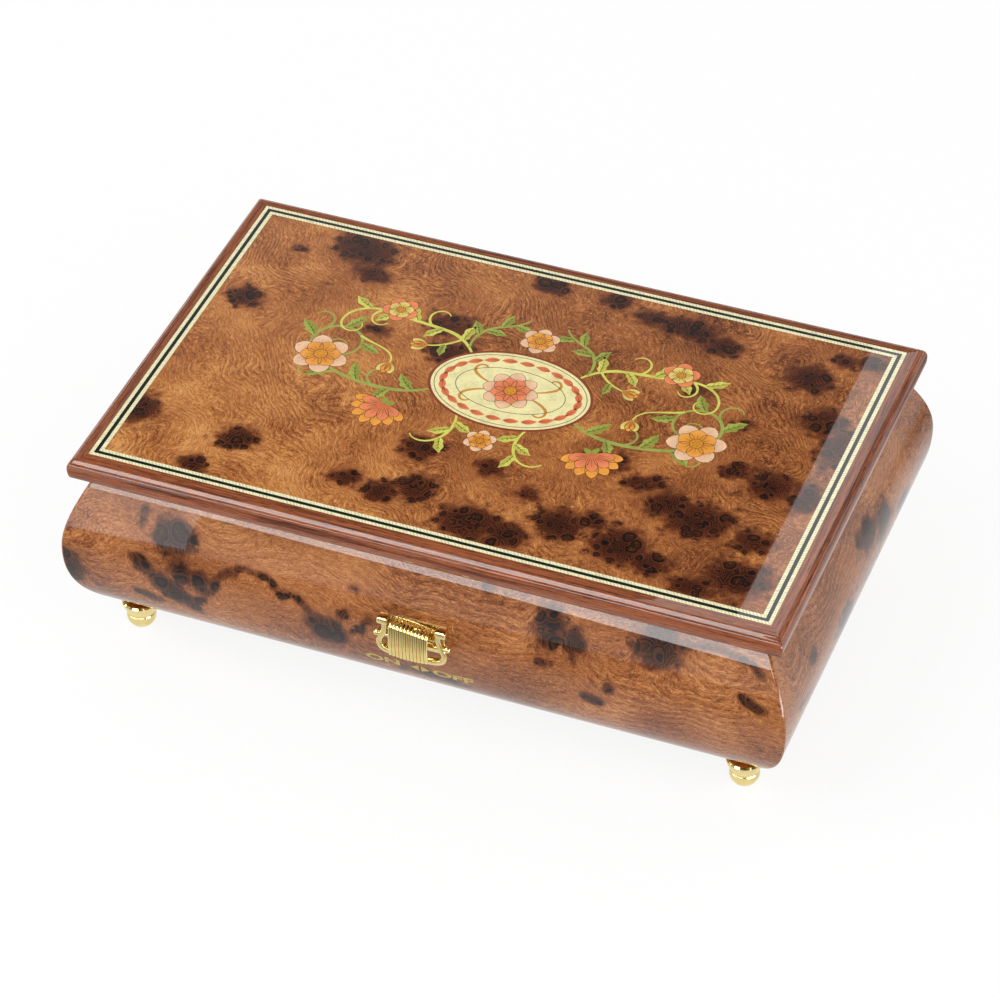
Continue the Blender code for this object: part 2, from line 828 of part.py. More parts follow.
def marquetry_outlines(grow=0.0):
    """A medallion inside a wreath of leaves, with a flower and two leaves at each end."""
    radii = (medallion_length / 2 + grow, medallion_width / 2 + grow)
    outlines = [arc((0, 0), radii, 0, 360 - 360 / 20, 19)]
    for index in range(wreath_leaves):
        angle = 2 * math.pi * (index + 0.5) / wreath_leaves
        x = wreath_length / 2 * math.cos(angle)
        y = wreath_width / 2 * math.sin(angle)
        run = math.atan2(wreath_width * math.cos(angle), -wreath_length * math.sin(angle))
        lean = wreath_lean if math.sin(angle) * math.cos(angle) > 0 else -wreath_lean
        outlines.append(leaf_outline(x, y, run + lean, grow))
    for side in (-1, 1):
        outlines.append(flower_outline(side * flower_spread, 0, grow))
        for rise in (-1, 1):
            outlines.append(leaf_outline(side * (flower_spread + flower_leaf_shift),
                                         rise * (flower_radius + leaf_length / 2
                                                 + flower_leaf_clearance),
                                         math.pi / 2 + rise * side * flower_leaf_lean, grow))
    return outlines


def inlay(outlines, low, high):
    builder = bmesh.new()
    for outline in outlines:
        add_prism(builder, outline, low, high)
    return solid_from(builder)


def make_lid(finishes, lid):
    board = prism(centred_rectangle(-gap / 2), lid_underside, board_top)
    cut(board, *hinge_recesses())
    finish_piece(board, "lid_board", finishes["inner_wood"], lid)

    nose = lid_top - lid_nose_drop
    shoulder = arc((lid_flat_offset, nose),
                   (lid_nose_offset - lid_flat_offset, lid_nose_drop), 90, 0, 5)
    cheek = arc((lid_edge_offset, nose),
                (lid_nose_offset - lid_edge_offset, lid_underside - nose), 0, 90, 3)[1:]
    profile = [(gap / 2, lid_top)] + shoulder + cheek + [(gap / 2, lid_underside)]
    for side in SIDES:
        moulding = mitred_side(profile, side)
        if side == "back":
            cut(moulding, *hinge_recesses())
        finish_piece(moulding, "lid_frame_" + side, finishes["rosewood"], lid, 30)

    first = -gap / 2
    second = -outer_line_width
    third = second - black_line_width
    fourth = third - inner_line_width
    line_ring(first, second + gap / 2, "lid_outer_line", finishes["pale_line"], lid)
    line_ring(second - gap / 2, third + gap / 2, "lid_black_line", finishes["black_line"], lid)
    line_ring(third - gap / 2, fourth + gap / 2, "lid_inner_line", finishes["pale_line"], lid)

    sheet = centred_rectangle(fourth - gap / 2)
    veneer = prism(sheet, carrier_top + gap, lid_top)
    cut(veneer, inlay(marquetry_outlines(gap), board_top, lid_top + past))
    finish_piece(veneer, "lid_burl_panel", finishes["burl"], lid)
    ornament = prism(sheet, board_top + gap, carrier_top)
    unite(ornament, inlay(marquetry_outlines(), carrier_top - gap / 2, lid_top))
    finish_piece(ornament, "lid_marquetry", finishes["marquetry"], lid)

    edge = -wall_inset - lining_clearance
    lining = prism(centred_rectangle(edge), lid_underside - gap - lining_thickness,
                   lid_underside - gap)
    finish_piece(lining, "lid_lining", finishes["felt"], lid)


# Lever

def lever_x(offset):
    return lever_centre + offset


def make_slot_plate(finish, parent):
    face = curve_between(slot_plate_bottom, slot_plate_top)
    back = [(-(half_width + o + gap), z) for o, z in face]
    front = [(y - slot_plate_thickness, z) for y, z in back]
    plate = prism(back + front[::-1], lever_x(-slot_plate_half), lever_x(slot_plate_half), "X")
    slot = box(lever_x(-lever_travel - stem_width / 2 - 2 * gap),
               lever_x(stem_width / 2 + 2 * gap), lever_y, -half_width,
               crossbar_height - stem_height / 2 - gap, crossbar_height + stem_height / 2 + gap)
    cut(plate, slot)
    finish_piece(plate, "slot_plate", finish, parent, 30)


def make_lyre(finish, lever):
    waist_height = (lyre_base_height + 3 * lyre_top_height) / 4
    right = [(0, lyre_base_height),
             (lyre_belly_half * lyre_foot_flat_share, lyre_base_height),
             (lyre_belly_half * lyre_foot_round_share, lyre_base_height + lyre_foot_curl),
             (lyre_belly_half, lyre_base_height + lyre_belly_rise),
             (lyre_waist_half, waist_height), (lyre_waist_half, lyre_top_height)]
    path = [(-x, z) for x, z in right[:0:-1]] + right
    strip = band(smooth_path(path, 2), lyre_arm_width)
    low = lever_y - lyre_thickness / 2
    high = lever_y + lyre_thickness / 2
    frame = prism([(lever_x(x), z) for x, z in strip], low, high, "Y")
    hook_bottom = lyre_top_height - hook_drop
    for side in (-1, 1):
        inner = side * (lyre_waist_half - lyre_arm_width / 2 - bite)
        ends = sorted((lever_x(inner), lever_x(inner + side * hook_length)))
        hook = box(*ends, low - bite, low + hook_depth, hook_bottom, hook_bottom + hook_height)
        soften(hook, hook_round)
        unite(frame, hook)
    finish_piece(frame, "lyre_frame", finish, lever, 40)


def soften(shape, width):
    """Rounds the long edges of a small block."""
    builder = bmesh.new()
    builder.from_mesh(shape.data)
    bmesh.ops.bevel(builder, geom=builder.edges[:], offset=width, segments=1, affect="EDGES")
    builder.to_mesh(shape.data)
    builder.free()


def make_crossbar(finish, lever):
    centre = (0, lever_y + lyre_thickness / 2 + gap + crossbar_ball_radius, crossbar_height)
    bar = rod(crossbar_radius, lever_x(-crossbar_half), lever_x(crossbar_half), 12, centre, "X")
    for side in (-1, 1):
        ball = arc((0, 0), (crossbar_ball_radius,) * 2, -90, 90, 6)
        middle = (lever_x(side * crossbar_half), centre[1], crossbar_height)
        unite(bar, turned([(max(r, 0), h) for r, h in ball], 12, middle, "X"))
    stem = box(lever_x(-stem_width / 2), lever_x(stem_width / 2), centre[1],
               -inner_half_width + gap + slide_thickness,
               crossbar_height - stem_height / 2, crossbar_height + stem_height / 2)
    unite(bar, stem)
    finish_piece(bar, "lyre_crossbar", finish, lever, 40)


def make_strings(finish, lever):
    """The grip: parallel strings that stand side by side and turn back over the top."""
    back = lever_y - lyre_thickness / 2 - gap
    left = -string_count * string_pitch / 2
    outline = [(lever_x(left), back)]
    for index in range(string_count):
        start = lever_x(left + index * string_pitch)
        for share, depth in string_front:
            outline.append((start + share * string_pitch, back - depth * string_depth))
    outline.append((lever_x(-left), back))
    grip = prism(outline, string_bottom, string_top)
    thickness = string_pitch * string_bar_share
    for index in range(string_count):
        middle = lever_x(left + (index + 0.5) * string_pitch)
        unite(grip, box(middle - thickness / 2, middle + thickness / 2,
                        back - string_depth * string_bar_seat_share, back + string_return,
                        string_top - bite - string_bar_height, string_top - bite))
    finish_piece(grip, "lyre_strings", finish, lever, 35)


def make_stop_slide(finish, lever):
    """The strip behind the front panel, whose finger halts the fan."""
    face = -inner_half_width + gap
    low = crossbar_height - slide_height / 2
    high = crossbar_height + slide_height / 2
    finger_right = governor_wheel_x - fan_radius - 2 * gap
    strip = box(lever_x(-slide_tail_share * stem_width), finger_right,
                face, face + slide_thickness, low, high)
    finger = box(finger_right - stop_finger_width, finger_right, face + slide_thickness / 2,
                 fan_y, low, high)
    unite(strip, finger)
    hole = gap + stem_width / 2
    cut(strip, box(lever_x(-hole), lever_x(hole), face - past, face + slide_thickness + past,
                   crossbar_height - stem_height / 2 - gap,
                   crossbar_height + stem_height / 2 + gap))
    finish_piece(strip, "stop_slide", finish, lever)


# Gears

def gear_outline(teeth, module, pitch_share, phase, dedendum=tooth_dedendum):
    """Slim straight-flanked teeth; pitch_share is the tooth's share of the pitch."""
    radius = teeth * module / 2
    pitch_half = math.pi * module * pitch_share / 2
    flank = ((-dedendum, -1), (tooth_addendum, -1), (tooth_addendum, 1), (-dedendum, 1))
    points = []
    for index in range(teeth):
        middle = phase + 2 * math.pi * index / teeth
        for height, sign in flank:
            level = radius + height * module
            half = pitch_half - tooth_slope * height * module
            points.append((level * math.cos(middle + sign * half / level),
                           level * math.sin(middle + sign * half / level)))
    return points


def twisted(outline, low, high, axis, centre, twist, steps=1):
    """A prism whose outline turns by a twist about its own centre from end to end."""
    builder = bmesh.new()
    rings = []
    for step in range(steps + 1):
        share = step / steps
        angle = twist * (share - 0.5)
        level = low + (high - low) * share
        ring = []
        for a, b in outline:
            along = centre[0] + a * math.cos(angle) - b * math.sin(angle)
            across = centre[1] + a * math.sin(angle) + b * math.cos(angle)
            ring.append(builder.verts.new(on_plane(axis, along, across, level)))
        rings.append(ring)
    builder.faces.new(rings[0])
    builder.faces.new(rings[-1][::-1])
    for lower, upper in zip(rings, rings[1:]):
        for index in range(len(outline)):
            after = (index + 1) % len(outline)
            builder.faces.new((lower[index], lower[after], upper[after], upper[index]))
    return solid_from(builder)


# Movement

def make_bedplate(finish, root):
    bed = box(-bed_half_length, bed_half_length, bed_front, bed_back,
              floor_height + gap, bed_top)
    soften_upright(bed, bed_corner)
    hole = rod(winding_arbor_radius + gap, floor_height - past, bed_top + past, 20,
               (barrel_x, cylinder_y, 0))
    cut(bed, hole)
    unite(bed, bed_studs())
    finish_piece(bed, "bedplate", finish, root)


def soften_upright(shape, width):
    """Rounds only the upright edges of a plate."""
    builder = bmesh.new()
    builder.from_mesh(shape.data)
    upright = [e for e in builder.edges
               if abs(e.verts[0].co.z - e.verts[1].co.z) > weld * mm]
    bmesh.ops.bevel(builder, geom=upright, offset=width, segments=3, affect="EDGES")
    builder.to_mesh(shape.data)
    builder.free()


def make_cylinder(finishes, spin):
    centre = (0, cylinder_y, axis_z)
    body = tube(arbor_radius + gap, cylinder_radius, cylinder_left, cylinder_right, 32,
                centre, "X")

    builder = bmesh.new()
    pitch = (cylinder_right - cylinder_left) / comb_teeth
    low = cylinder_radius - gap
    high = cylinder_radius + pin_height
    for index in range(comb_teeth):
        x = cylinder_left + (index + 0.5) * pitch
        angle = 2 * math.pi * ((index * pin_stride) % comb_teeth + 0.5) / comb_teeth
        outline = []
        for radius, side in ((low, -1), (high, -1), (high, 1), (low, 1)):
            spread = angle + side * pin_width / 2 / radius
            outline.append((cylinder_y + radius * math.cos(spread),
                            axis_z + radius * math.sin(spread)))
        add_prism(builder, outline, x - pin_width / 2, x + pin_width / 2, "X")
    unite(body, solid_from(builder))
    finish_piece(body, "cylinder", finishes["brass"], spin, 30)

    arbor_right = right_bracket_x + bracket_thickness + arbor_end
    arbor = rod(arbor_radius, arbor_left, arbor_right, 16, centre, "X")
    teeth = gear_outline(drive_pinion_teeth, drive_module, drive_tooth_share, 0,
                         drive_tooth_dedendum)
    pinion = twisted(teeth, drive_pinion_x - drive_face / 2, drive_pinion_x + drive_face / 2,
                     "X", (cylinder_y, axis_z), 0)
    unite(arbor, pinion)
    finish_piece(arbor, "cylinder_arbor", finishes["steel"], spin, 40)

    teeth = gear_outline(train_wheel_teeth, train_module, train_tooth_share, 0)
    wheel = twisted(teeth, train_x, train_x + train_face, "X", (cylinder_y, axis_z), 0)
    cut(wheel, rod(arbor_radius + gap, train_x - past, train_x + train_face + past, 16,
                   centre, "X"))
    finish_piece(wheel, "cylinder_wheel", finishes["brass"], spin, 40)


def bearing_plate(x, thickness, bores, half, crown):
    """An upright plate on the bedplate; bores are (y, radius) at the height of the axes."""
    low = min(y for y, radius in bores) - half
    high = max(y for y, radius in bores) + half
    top = axis_z + crown
    corner = half * bracket_corner_share
    outline = [(low, bed_top + gap), (high, bed_top + gap), (high, top - corner),
               (high - corner, top), (low + corner, top), (low, top - corner)]
    plate = prism(outline, x, x + thickness, "X")
    for y, radius in bores:
        cut(plate, rod(radius + gap, x - past, x + thickness + past, 16,
                       (0, y, axis_z), "X"))
    return plate


def make_brackets(finish, root):
    left = bearing_plate(left_bracket_x, bracket_thickness, [(cylinder_y, arbor_radius)],
                         bracket_half_width, bracket_crown)
    finish_piece(left, "bracket_left", finish, root)
    right = bearing_plate(right_bracket_x, bracket_thickness,
                          [(cylinder_y, arbor_radius), (governor_y, governor_arbor_radius)],
                          governor_plate_half, bracket_crown)
    finish_piece(right, "bracket_right", finish, root)
    outer = bearing_plate(governor_plate_x, governor_plate_thickness,
                          [(governor_y, governor_arbor_radius)], governor_plate_half,
                          bracket_crown)
    finish_piece(outer, "governor_plate", finish, root)


def comb_tip():
    return cylinder_y - cylinder_radius - pin_height - comb_tip_clearance


def comb_screw_places():
    middle = (cylinder_left + cylinder_right) / 2
    y = comb_tip() - comb_depth + comb_screw_inset
    spread = (cylinder_right - cylinder_left) / 2 - comb_screw_end
    return {"left": (middle - spread, y), "middle": (middle, y), "right": (middle + spread, y)}


def make_comb(finishes, root):
    tip = comb_tip()
    root_line = tip - comb_tooth_length
    back = tip - comb_depth
    low = axis_z - comb_thickness / 2
    high = axis_z + comb_thickness / 2
    pitch = (cylinder_right - cylinder_left) / comb_teeth
    outline = [(cylinder_left, back)]
    for index in range(comb_teeth):
        middle = cylinder_left + (index + 0.5) * pitch
        half = comb_tooth_share * pitch / 2
        outline += [(middle - half, root_line), (middle - half, tip),
                    (middle + half, tip), (middle + half, root_line)]
    outline.append((cylinder_right, back))
    comb = prism(outline, low, high)
    block = box(cylinder_left, cylinder_right, back, root_line - comb_base_setback,
                bed_top + gap, low - gap)
    bore = comb_screw_radius + gap
    depth = comb_screw_length + gap
    for name, (x, y) in comb_screw_places().items():
        cut(comb, rod(bore, low - past, high + past, 12, (x, y, 0)))
        cut(block, rod(bore, high - depth, high, 12, (x, y, 0)))
        head = comb_screw_head
        top = high + gap + comb_screw_head_height
        profile = [(0, high - comb_screw_length), (comb_screw_radius, high - comb_screw_length),
                   (comb_screw_radius, high + gap), (head, high + gap),
                   (head, top - comb_screw_chamfer), (head - comb_screw_chamfer, top),
                   (0, top)]
        screw = turned(profile, 12, (x, y, 0))
        cut(screw, box(x - head - past, x + head + past, y - comb_screw_slot / 2,
                       y + comb_screw_slot / 2, top - comb_screw_slot, top + past))
        finish_piece(screw, "comb_screw_" + name, finishes["steel"], root, 40)
    finish_piece(comb, "comb", finishes["steel"], root)
    finish_piece(block, "comb_base", finishes["brass"], root)


def make_barrel(finishes, spin):
    bottom = bed_top + barrel_lift
    inner = barrel_radius - barrel_wall
    roof = crown_root - barrel_top_thickness
    bore = winding_arbor_radius + gap
    centre = (barrel_x, cylinder_y, 0)
    drum = turned([(bore, roof), (inner, roof), (inner, bottom), (barrel_radius, bottom),
                   (barrel_radius, crown_root), (bore, crown_root)], 40, centre)
    pitch_radius = drive_crown_teeth * drive_module / 2
    face = drive_face / 2 + bite
    base_half = math.pi * drive_module * crown_root_share / 2
    tip_half = math.pi * drive_module * crown_tip_share / 2
    builder = bmesh.new()
    for index in range(drive_crown_teeth):
        angle = math.pi / drive_crown_teeth * (2 * index + 1)
        across = [(-base_half, crown_root - bite), (base_half, crown_root - bite),
                  (base_half, crown_root), (tip_half, crown_tip), (-tip_half, crown_tip),
                  (-base_half, crown_root)]
        before = len(builder.verts)
        add_prism(builder, across, pitch_radius - face, pitch_radius + face, "X")
        builder.verts.ensure_lookup_table()
        fresh = builder.verts[before:]
        bmesh.ops.rotate(builder, verts=fresh, cent=(0, 0, 0),
                         matrix=Matrix.Rotation(angle, 3, "Z"))
        bmesh.ops.translate(builder, verts=fresh, vec=centre)
    unite(drum, solid_from(builder))
    finish_piece(drum, "spring_barrel", finishes["brass"], spin, 30)

    cover_top = bottom + barrel_cover_thickness
    cover = tube(bore, inner - gap, bottom, cover_top, 40, centre)
    finish_piece(cover, "barrel_cover", finishes["brass"], spin, 30)

    start = winding_arbor_radius + 4 * gap
    end = inner - gap - mainspring_thickness / 2
    steps = mainspring_turns * 16
    path = []
    for step in range(steps + 1):
        radius = start + (end - start) * step / steps
        angle = 2 * math.pi * step / 16
        path.append((barrel_x + radius * math.cos(angle), cylinder_y + radius * math.sin(angle)))
    spring = prism(band(path, mainspring_thickness), cover_top + gap, roof - gap)
    finish_piece(spring, "mainspring", finishes["steel"], spin, 30)


def make_winder(finishes, winder):
    cock_top = crown_tip + cock_clearance + cock_thickness
    centre = (barrel_x, cylinder_y, 0)
    arbor = rod(winding_arbor_radius, key_top - key_socket + gap, cock_top, 20, centre)
    finish_piece(arbor, "winding_arbor", finishes["steel"], winder, 40)

    key = rod(key_hub_radius, key_bottom, key_top, 16, centre)
    middle = (key_bottom + key_wing_radius, key_wing_reach)
    half = key_thickness / 2
    for side in (-1, 1):
        wing = arc((barrel_x + side * middle[1], middle[0]), (key_wing_radius,) * 2, 0,
                   360 - 360 / key_wing_sides, key_wing_sides - 1)
        ends = sorted((barrel_x + side * key_hub_radius / 2, barrel_x + side * middle[1]))
        web = rectangle(*ends, middle[0] - key_wing_radius * key_web_share,
                        middle[0] + key_wing_radius * key_web_share)
        web_half = half * key_web_thickness_share
        unite(key, prism(wing, cylinder_y - half, cylinder_y + half, "Y"),
              prism(web, cylinder_y - web_half, cylinder_y + web_half, "Y"))
    cut(key, rod(winding_arbor_radius + gap, key_top - key_socket, key_top + past, 20, centre))
    finish_piece(key, "winding_key", finishes["brass"], winder, 40)


def make_cock(finish, root):
    low = crown_tip + cock_clearance
    high = low + cock_thickness
    post = cylinder_y + barrel_radius + cock_post_clearance
    nose = cylinder_y - cock_half_width
    outline = [(nose, low), (post, low), (post, bed_top + gap),
               (post + cock_post, bed_top + gap), (post + cock_post, high), (nose, high)]
    cock = prism(outline, barrel_x - cock_half_width, barrel_x + cock_half_width, "X")
    cut(cock, rod(winding_arbor_radius + gap, low - past, high + past, 20,
                  (barrel_x, cylinder_y, 0)))
    finish_piece(cock, "barrel_cock", finish, root)


# Governor

def make_governor_arbor(finishes, spin):
    centre = (0, governor_y, axis_z)
    arbor = rod(governor_arbor_radius, train_x - pivot_end,
                governor_plate_x + governor_plate_thickness + pivot_end, 12, centre, "X")
    teeth = gear_outline(train_pinion_teeth, train_module, train_tooth_share,
                         math.pi / train_pinion_teeth)
    pinion = twisted(teeth, train_x - bite, train_x + train_face + bite, "X",
                     (governor_y, axis_z), 0)
    unite(arbor, pinion)
    finish_piece(arbor, "governor_arbor", finishes["steel"], spin, 40)

    teeth = gear_outline(worm_wheel_teeth, worm_module, worm_wheel_tooth_share, 0)
    lead = worm_starts * math.pi * worm_module
    slope = lead / (2 * math.pi * worm_pitch_radius)
    twist = slope * worm_face / (worm_wheel_teeth * worm_module / 2)
    low = governor_wheel_x - worm_face / 2
    high = governor_wheel_x + worm_face / 2
    wheel = twisted(teeth, low, high, "X", (governor_y, axis_z), twist)
    cut(wheel, rod(governor_arbor_radius + gap, low - past, high + past, 12, centre, "X"))
    finish_piece(wheel, "worm_wheel", finishes["brass"], spin, 40)


def make_fan(finish, spin):
    centre = (governor_wheel_x, fan_y, 0)
    shaft = rod(fan_arbor_radius, axis_z + frame_low_arm - pivot_end,
                axis_z + frame_high_arm + frame_arm_thickness + pivot_end, 12, centre)
    lead = worm_starts * math.pi * worm_module
    core = worm_pitch_radius - worm_core_depth * worm_module
    crest = worm_pitch_radius + worm_crest_height * worm_module
    root_half = 2 * math.pi * worm_root_share * math.pi * worm_module / 2 / lead
    crest_half = 2 * math.pi * worm_crest_share * math.pi * worm_module / 2 / lead
    outline = []
    for start in range(worm_starts):
        middle = 2 * math.pi * start / worm_starts
        for radius, turn in ((core, -root_half), (crest, -crest_half),
                             (crest, crest_half), (core, root_half)):
            outline.append((radius * math.cos(middle + turn), radius * math.sin(middle + turn)))
        outline.append((core * math.cos(middle + math.pi / worm_starts),
                        core * math.sin(middle + math.pi / worm_starts)))
    twist = 2 * math.pi * worm_length / lead
    thread = twisted(outline, axis_z - worm_length / 2, axis_z + worm_length / 2, "Z",
                     (governor_wheel_x, fan_y), twist,
                     round(worm_length / lead * worm_turn_steps))
    blade_low = axis_z + fan_bottom_rise
    blade = box(governor_wheel_x - fan_radius, governor_wheel_x + fan_radius,
                fan_y - fan_blade_thickness / 2, fan_y + fan_blade_thickness / 2,
                blade_low, blade_low + fan_height)
    unite(shaft, thread, blade)
    finish_piece(shaft, "fan_worm", finish, spin, 35)


def make_governor_frame(finish, root):
    low = axis_z + frame_low_arm
    high = axis_z + frame_high_arm
    nose = fan_y + frame_arm_nose
    column = fan_y - frame_reach
    outline = [(column - frame_column, bed_top + gap), (column, bed_top + gap), (column, low),
               (nose, low), (nose, low + frame_arm_thickness),
               (column, low + frame_arm_thickness), (column, high), (nose, high),
               (nose, high + frame_arm_thickness),
               (column - frame_column, high + frame_arm_thickness)]
    frame = prism(outline, governor_wheel_x - frame_half_width,
                  governor_wheel_x + frame_half_width, "X")
    cut(frame, rod(fan_arbor_radius + gap, low - past, high + frame_arm_thickness + past, 12,
                   (governor_wheel_x, fan_y, 0)))
    finish_piece(frame, "governor_frame", finish, root)


def main():
    clear_scene()
    finishes = make_finishes()
    root = make_axis("case_frame", (0, case_shift, 0))
    lid = make_axis("lid_axis", (0, hinge_y, hinge_z), root)
    lever = make_axis("lever_axis", (lever_centre, lever_y, crossbar_height), root)
    cylinder = make_axis("cylinder_axis", (0, cylinder_y, axis_z), root)
    barrel = make_axis("barrel_axis", (barrel_x, cylinder_y, bed_top), root)
    winder = make_axis("winder_axis", (barrel_x, cylinder_y, key_top), root)
    governor = make_axis("governor_axis", (governor_wheel_x, governor_y, axis_z), root)
    fan = make_axis("fan_axis", (governor_wheel_x, fan_y, axis_z), root)

    make_base(finishes["inner_wood"], root)
    make_panels(finishes["burl"], root)
    make_feet(finishes["brass"], root)
    make_compartments(finishes, root)
    make_lid(finishes, lid)
    make_hinges(finishes, root, lid)
    make_slot_plate(finishes["brass"], root)
    make_lyre(finishes["brass"], lever)
    make_crossbar(finishes["brass"], lever)
    make_strings(finishes["brass"], lever)
    make_stop_slide(finishes["steel"], lever)
    make_bedplate(finishes["brass"], root)
    make_brackets(finishes["brass"], root)
    make_cylinder(finishes, cylinder)
    make_comb(finishes, root)
    make_barrel(finishes, barrel)
    make_cock(finishes["brass"], root)
    make_winder(finishes, winder)
    make_governor_arbor(finishes, governor)
    make_fan(finishes["steel"], fan)
    make_governor_frame(finishes["brass"], root)


main()
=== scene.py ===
"""Looks of the inlaid musical box: smooth lacquered case and lid, marquetry, lever, lettering,
feet, materials, floor, light and camera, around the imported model."""

import math

import bmesh
import bpy
from mathutils import Matrix, Vector


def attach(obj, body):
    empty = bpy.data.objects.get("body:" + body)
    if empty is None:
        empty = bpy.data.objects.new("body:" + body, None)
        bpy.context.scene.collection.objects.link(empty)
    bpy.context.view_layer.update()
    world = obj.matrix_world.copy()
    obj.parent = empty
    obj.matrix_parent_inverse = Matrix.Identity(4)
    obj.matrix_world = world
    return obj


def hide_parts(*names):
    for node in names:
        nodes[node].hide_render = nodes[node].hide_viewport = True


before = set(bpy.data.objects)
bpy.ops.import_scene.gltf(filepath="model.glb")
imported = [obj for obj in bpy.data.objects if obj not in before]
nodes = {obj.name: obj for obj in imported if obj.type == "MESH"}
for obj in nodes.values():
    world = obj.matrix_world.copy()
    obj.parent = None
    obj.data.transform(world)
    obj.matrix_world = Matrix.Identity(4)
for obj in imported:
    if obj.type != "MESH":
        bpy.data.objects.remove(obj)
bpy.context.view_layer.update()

mm = 0.001

# The case's own frame lies this far behind the model's origin
SHIFT = 4.55

# Sizes in millimetres, as in the solids: offsets are from the rectangle of the lid's inner edge
HALF_X = 144.0
HALF_Y = 88.8
LID_TOP = 98.0
LID_LOW = 88.7
RIM = (-2.3, 88.2)
RIM_PULL = (4.4, 75.9)
BELLY_ABOVE = (11.0, 65.0)
BELLY = (11.0, 52.0)
BELLY_BELOW = (11.1, 35.0)
FOOT_PULL = (5.4, 24.2)
UNDERSIDE = (-8.5, 14.3)
WALL_INSET = 14.0
BASE_THICKNESS = 5.3
FOOT_X = 132.5
FOOT_Y = 77.3
HINGE_X = 75.0
HINGE_HALF = 12.8
HINGE_FRONT = 78.7
HINGE_Y = 91.3
HINGE_Z = 88.45
LEVER_X = 1.9
LEVER_Y = -(HALF_Y + 16.6)
CROSSBAR_Z = 58.0


def linear(colour):
    """A colour written in 0 to 255 as the shader wants it."""
    shares = [part / 255 for part in colour]
    return (*(s / 12.92 if s <= 0.04045 else ((s + 0.055) / 1.055) ** 2.4 for s in shares), 1.0)


def darker(colour, *shares):
    """A colour times one share, or times one for each channel, and never past 1."""
    return (*(min(1.0, part * share) for part, share in zip(colour[:3], shares * 3)), 1.0)


# Shader graphs

class Nodes:
    """A node tree and short calls that add nodes to it."""

    def __init__(self, tree):
        self.tree = tree

    def feed(self, socket, value):
        if isinstance(value, bpy.types.NodeSocket):
            self.tree.links.new(value, socket)
        else:
            socket.default_value = value

    def make(self, kind, inputs=None, **settings):
        node = self.tree.nodes.new("ShaderNode" + kind)
        for key, value in settings.items():
            setattr(node, key, value)
        for key, value in (inputs or {}).items():
            self.feed(node.inputs[key], value)
        return node

    def math(self, operation, *values):
        return self.make("Math", dict(enumerate(values)), operation=operation).outputs[0]

    def add(self, first, second):
        return self.math("ADD", first, second)

    def times(self, first, second, plus=0.0):
        return self.math("MULTIPLY_ADD", first, second, plus)

    def ramp(self, value, *stops):
        node = self.make("ValToRGB", {"Fac": value})
        marks = node.color_ramp.elements
        while len(marks) < len(stops):
            marks.new(0.5)
        for mark, (place, colour) in zip(marks, stops):
            mark.position = place
            mark.color = colour
        return node.outputs["Color"]

    def seen_plainly(self):
        """Two values: 1 for what the camera sees plainly or through glass, 1 for mirrored rays."""
        rays = self.make("LightPath").outputs
        plain = self.math("MAXIMUM", rays["Is Camera Ray"], rays["Is Transmission Ray"])
        return plain, rays["Is Glossy Ray"]


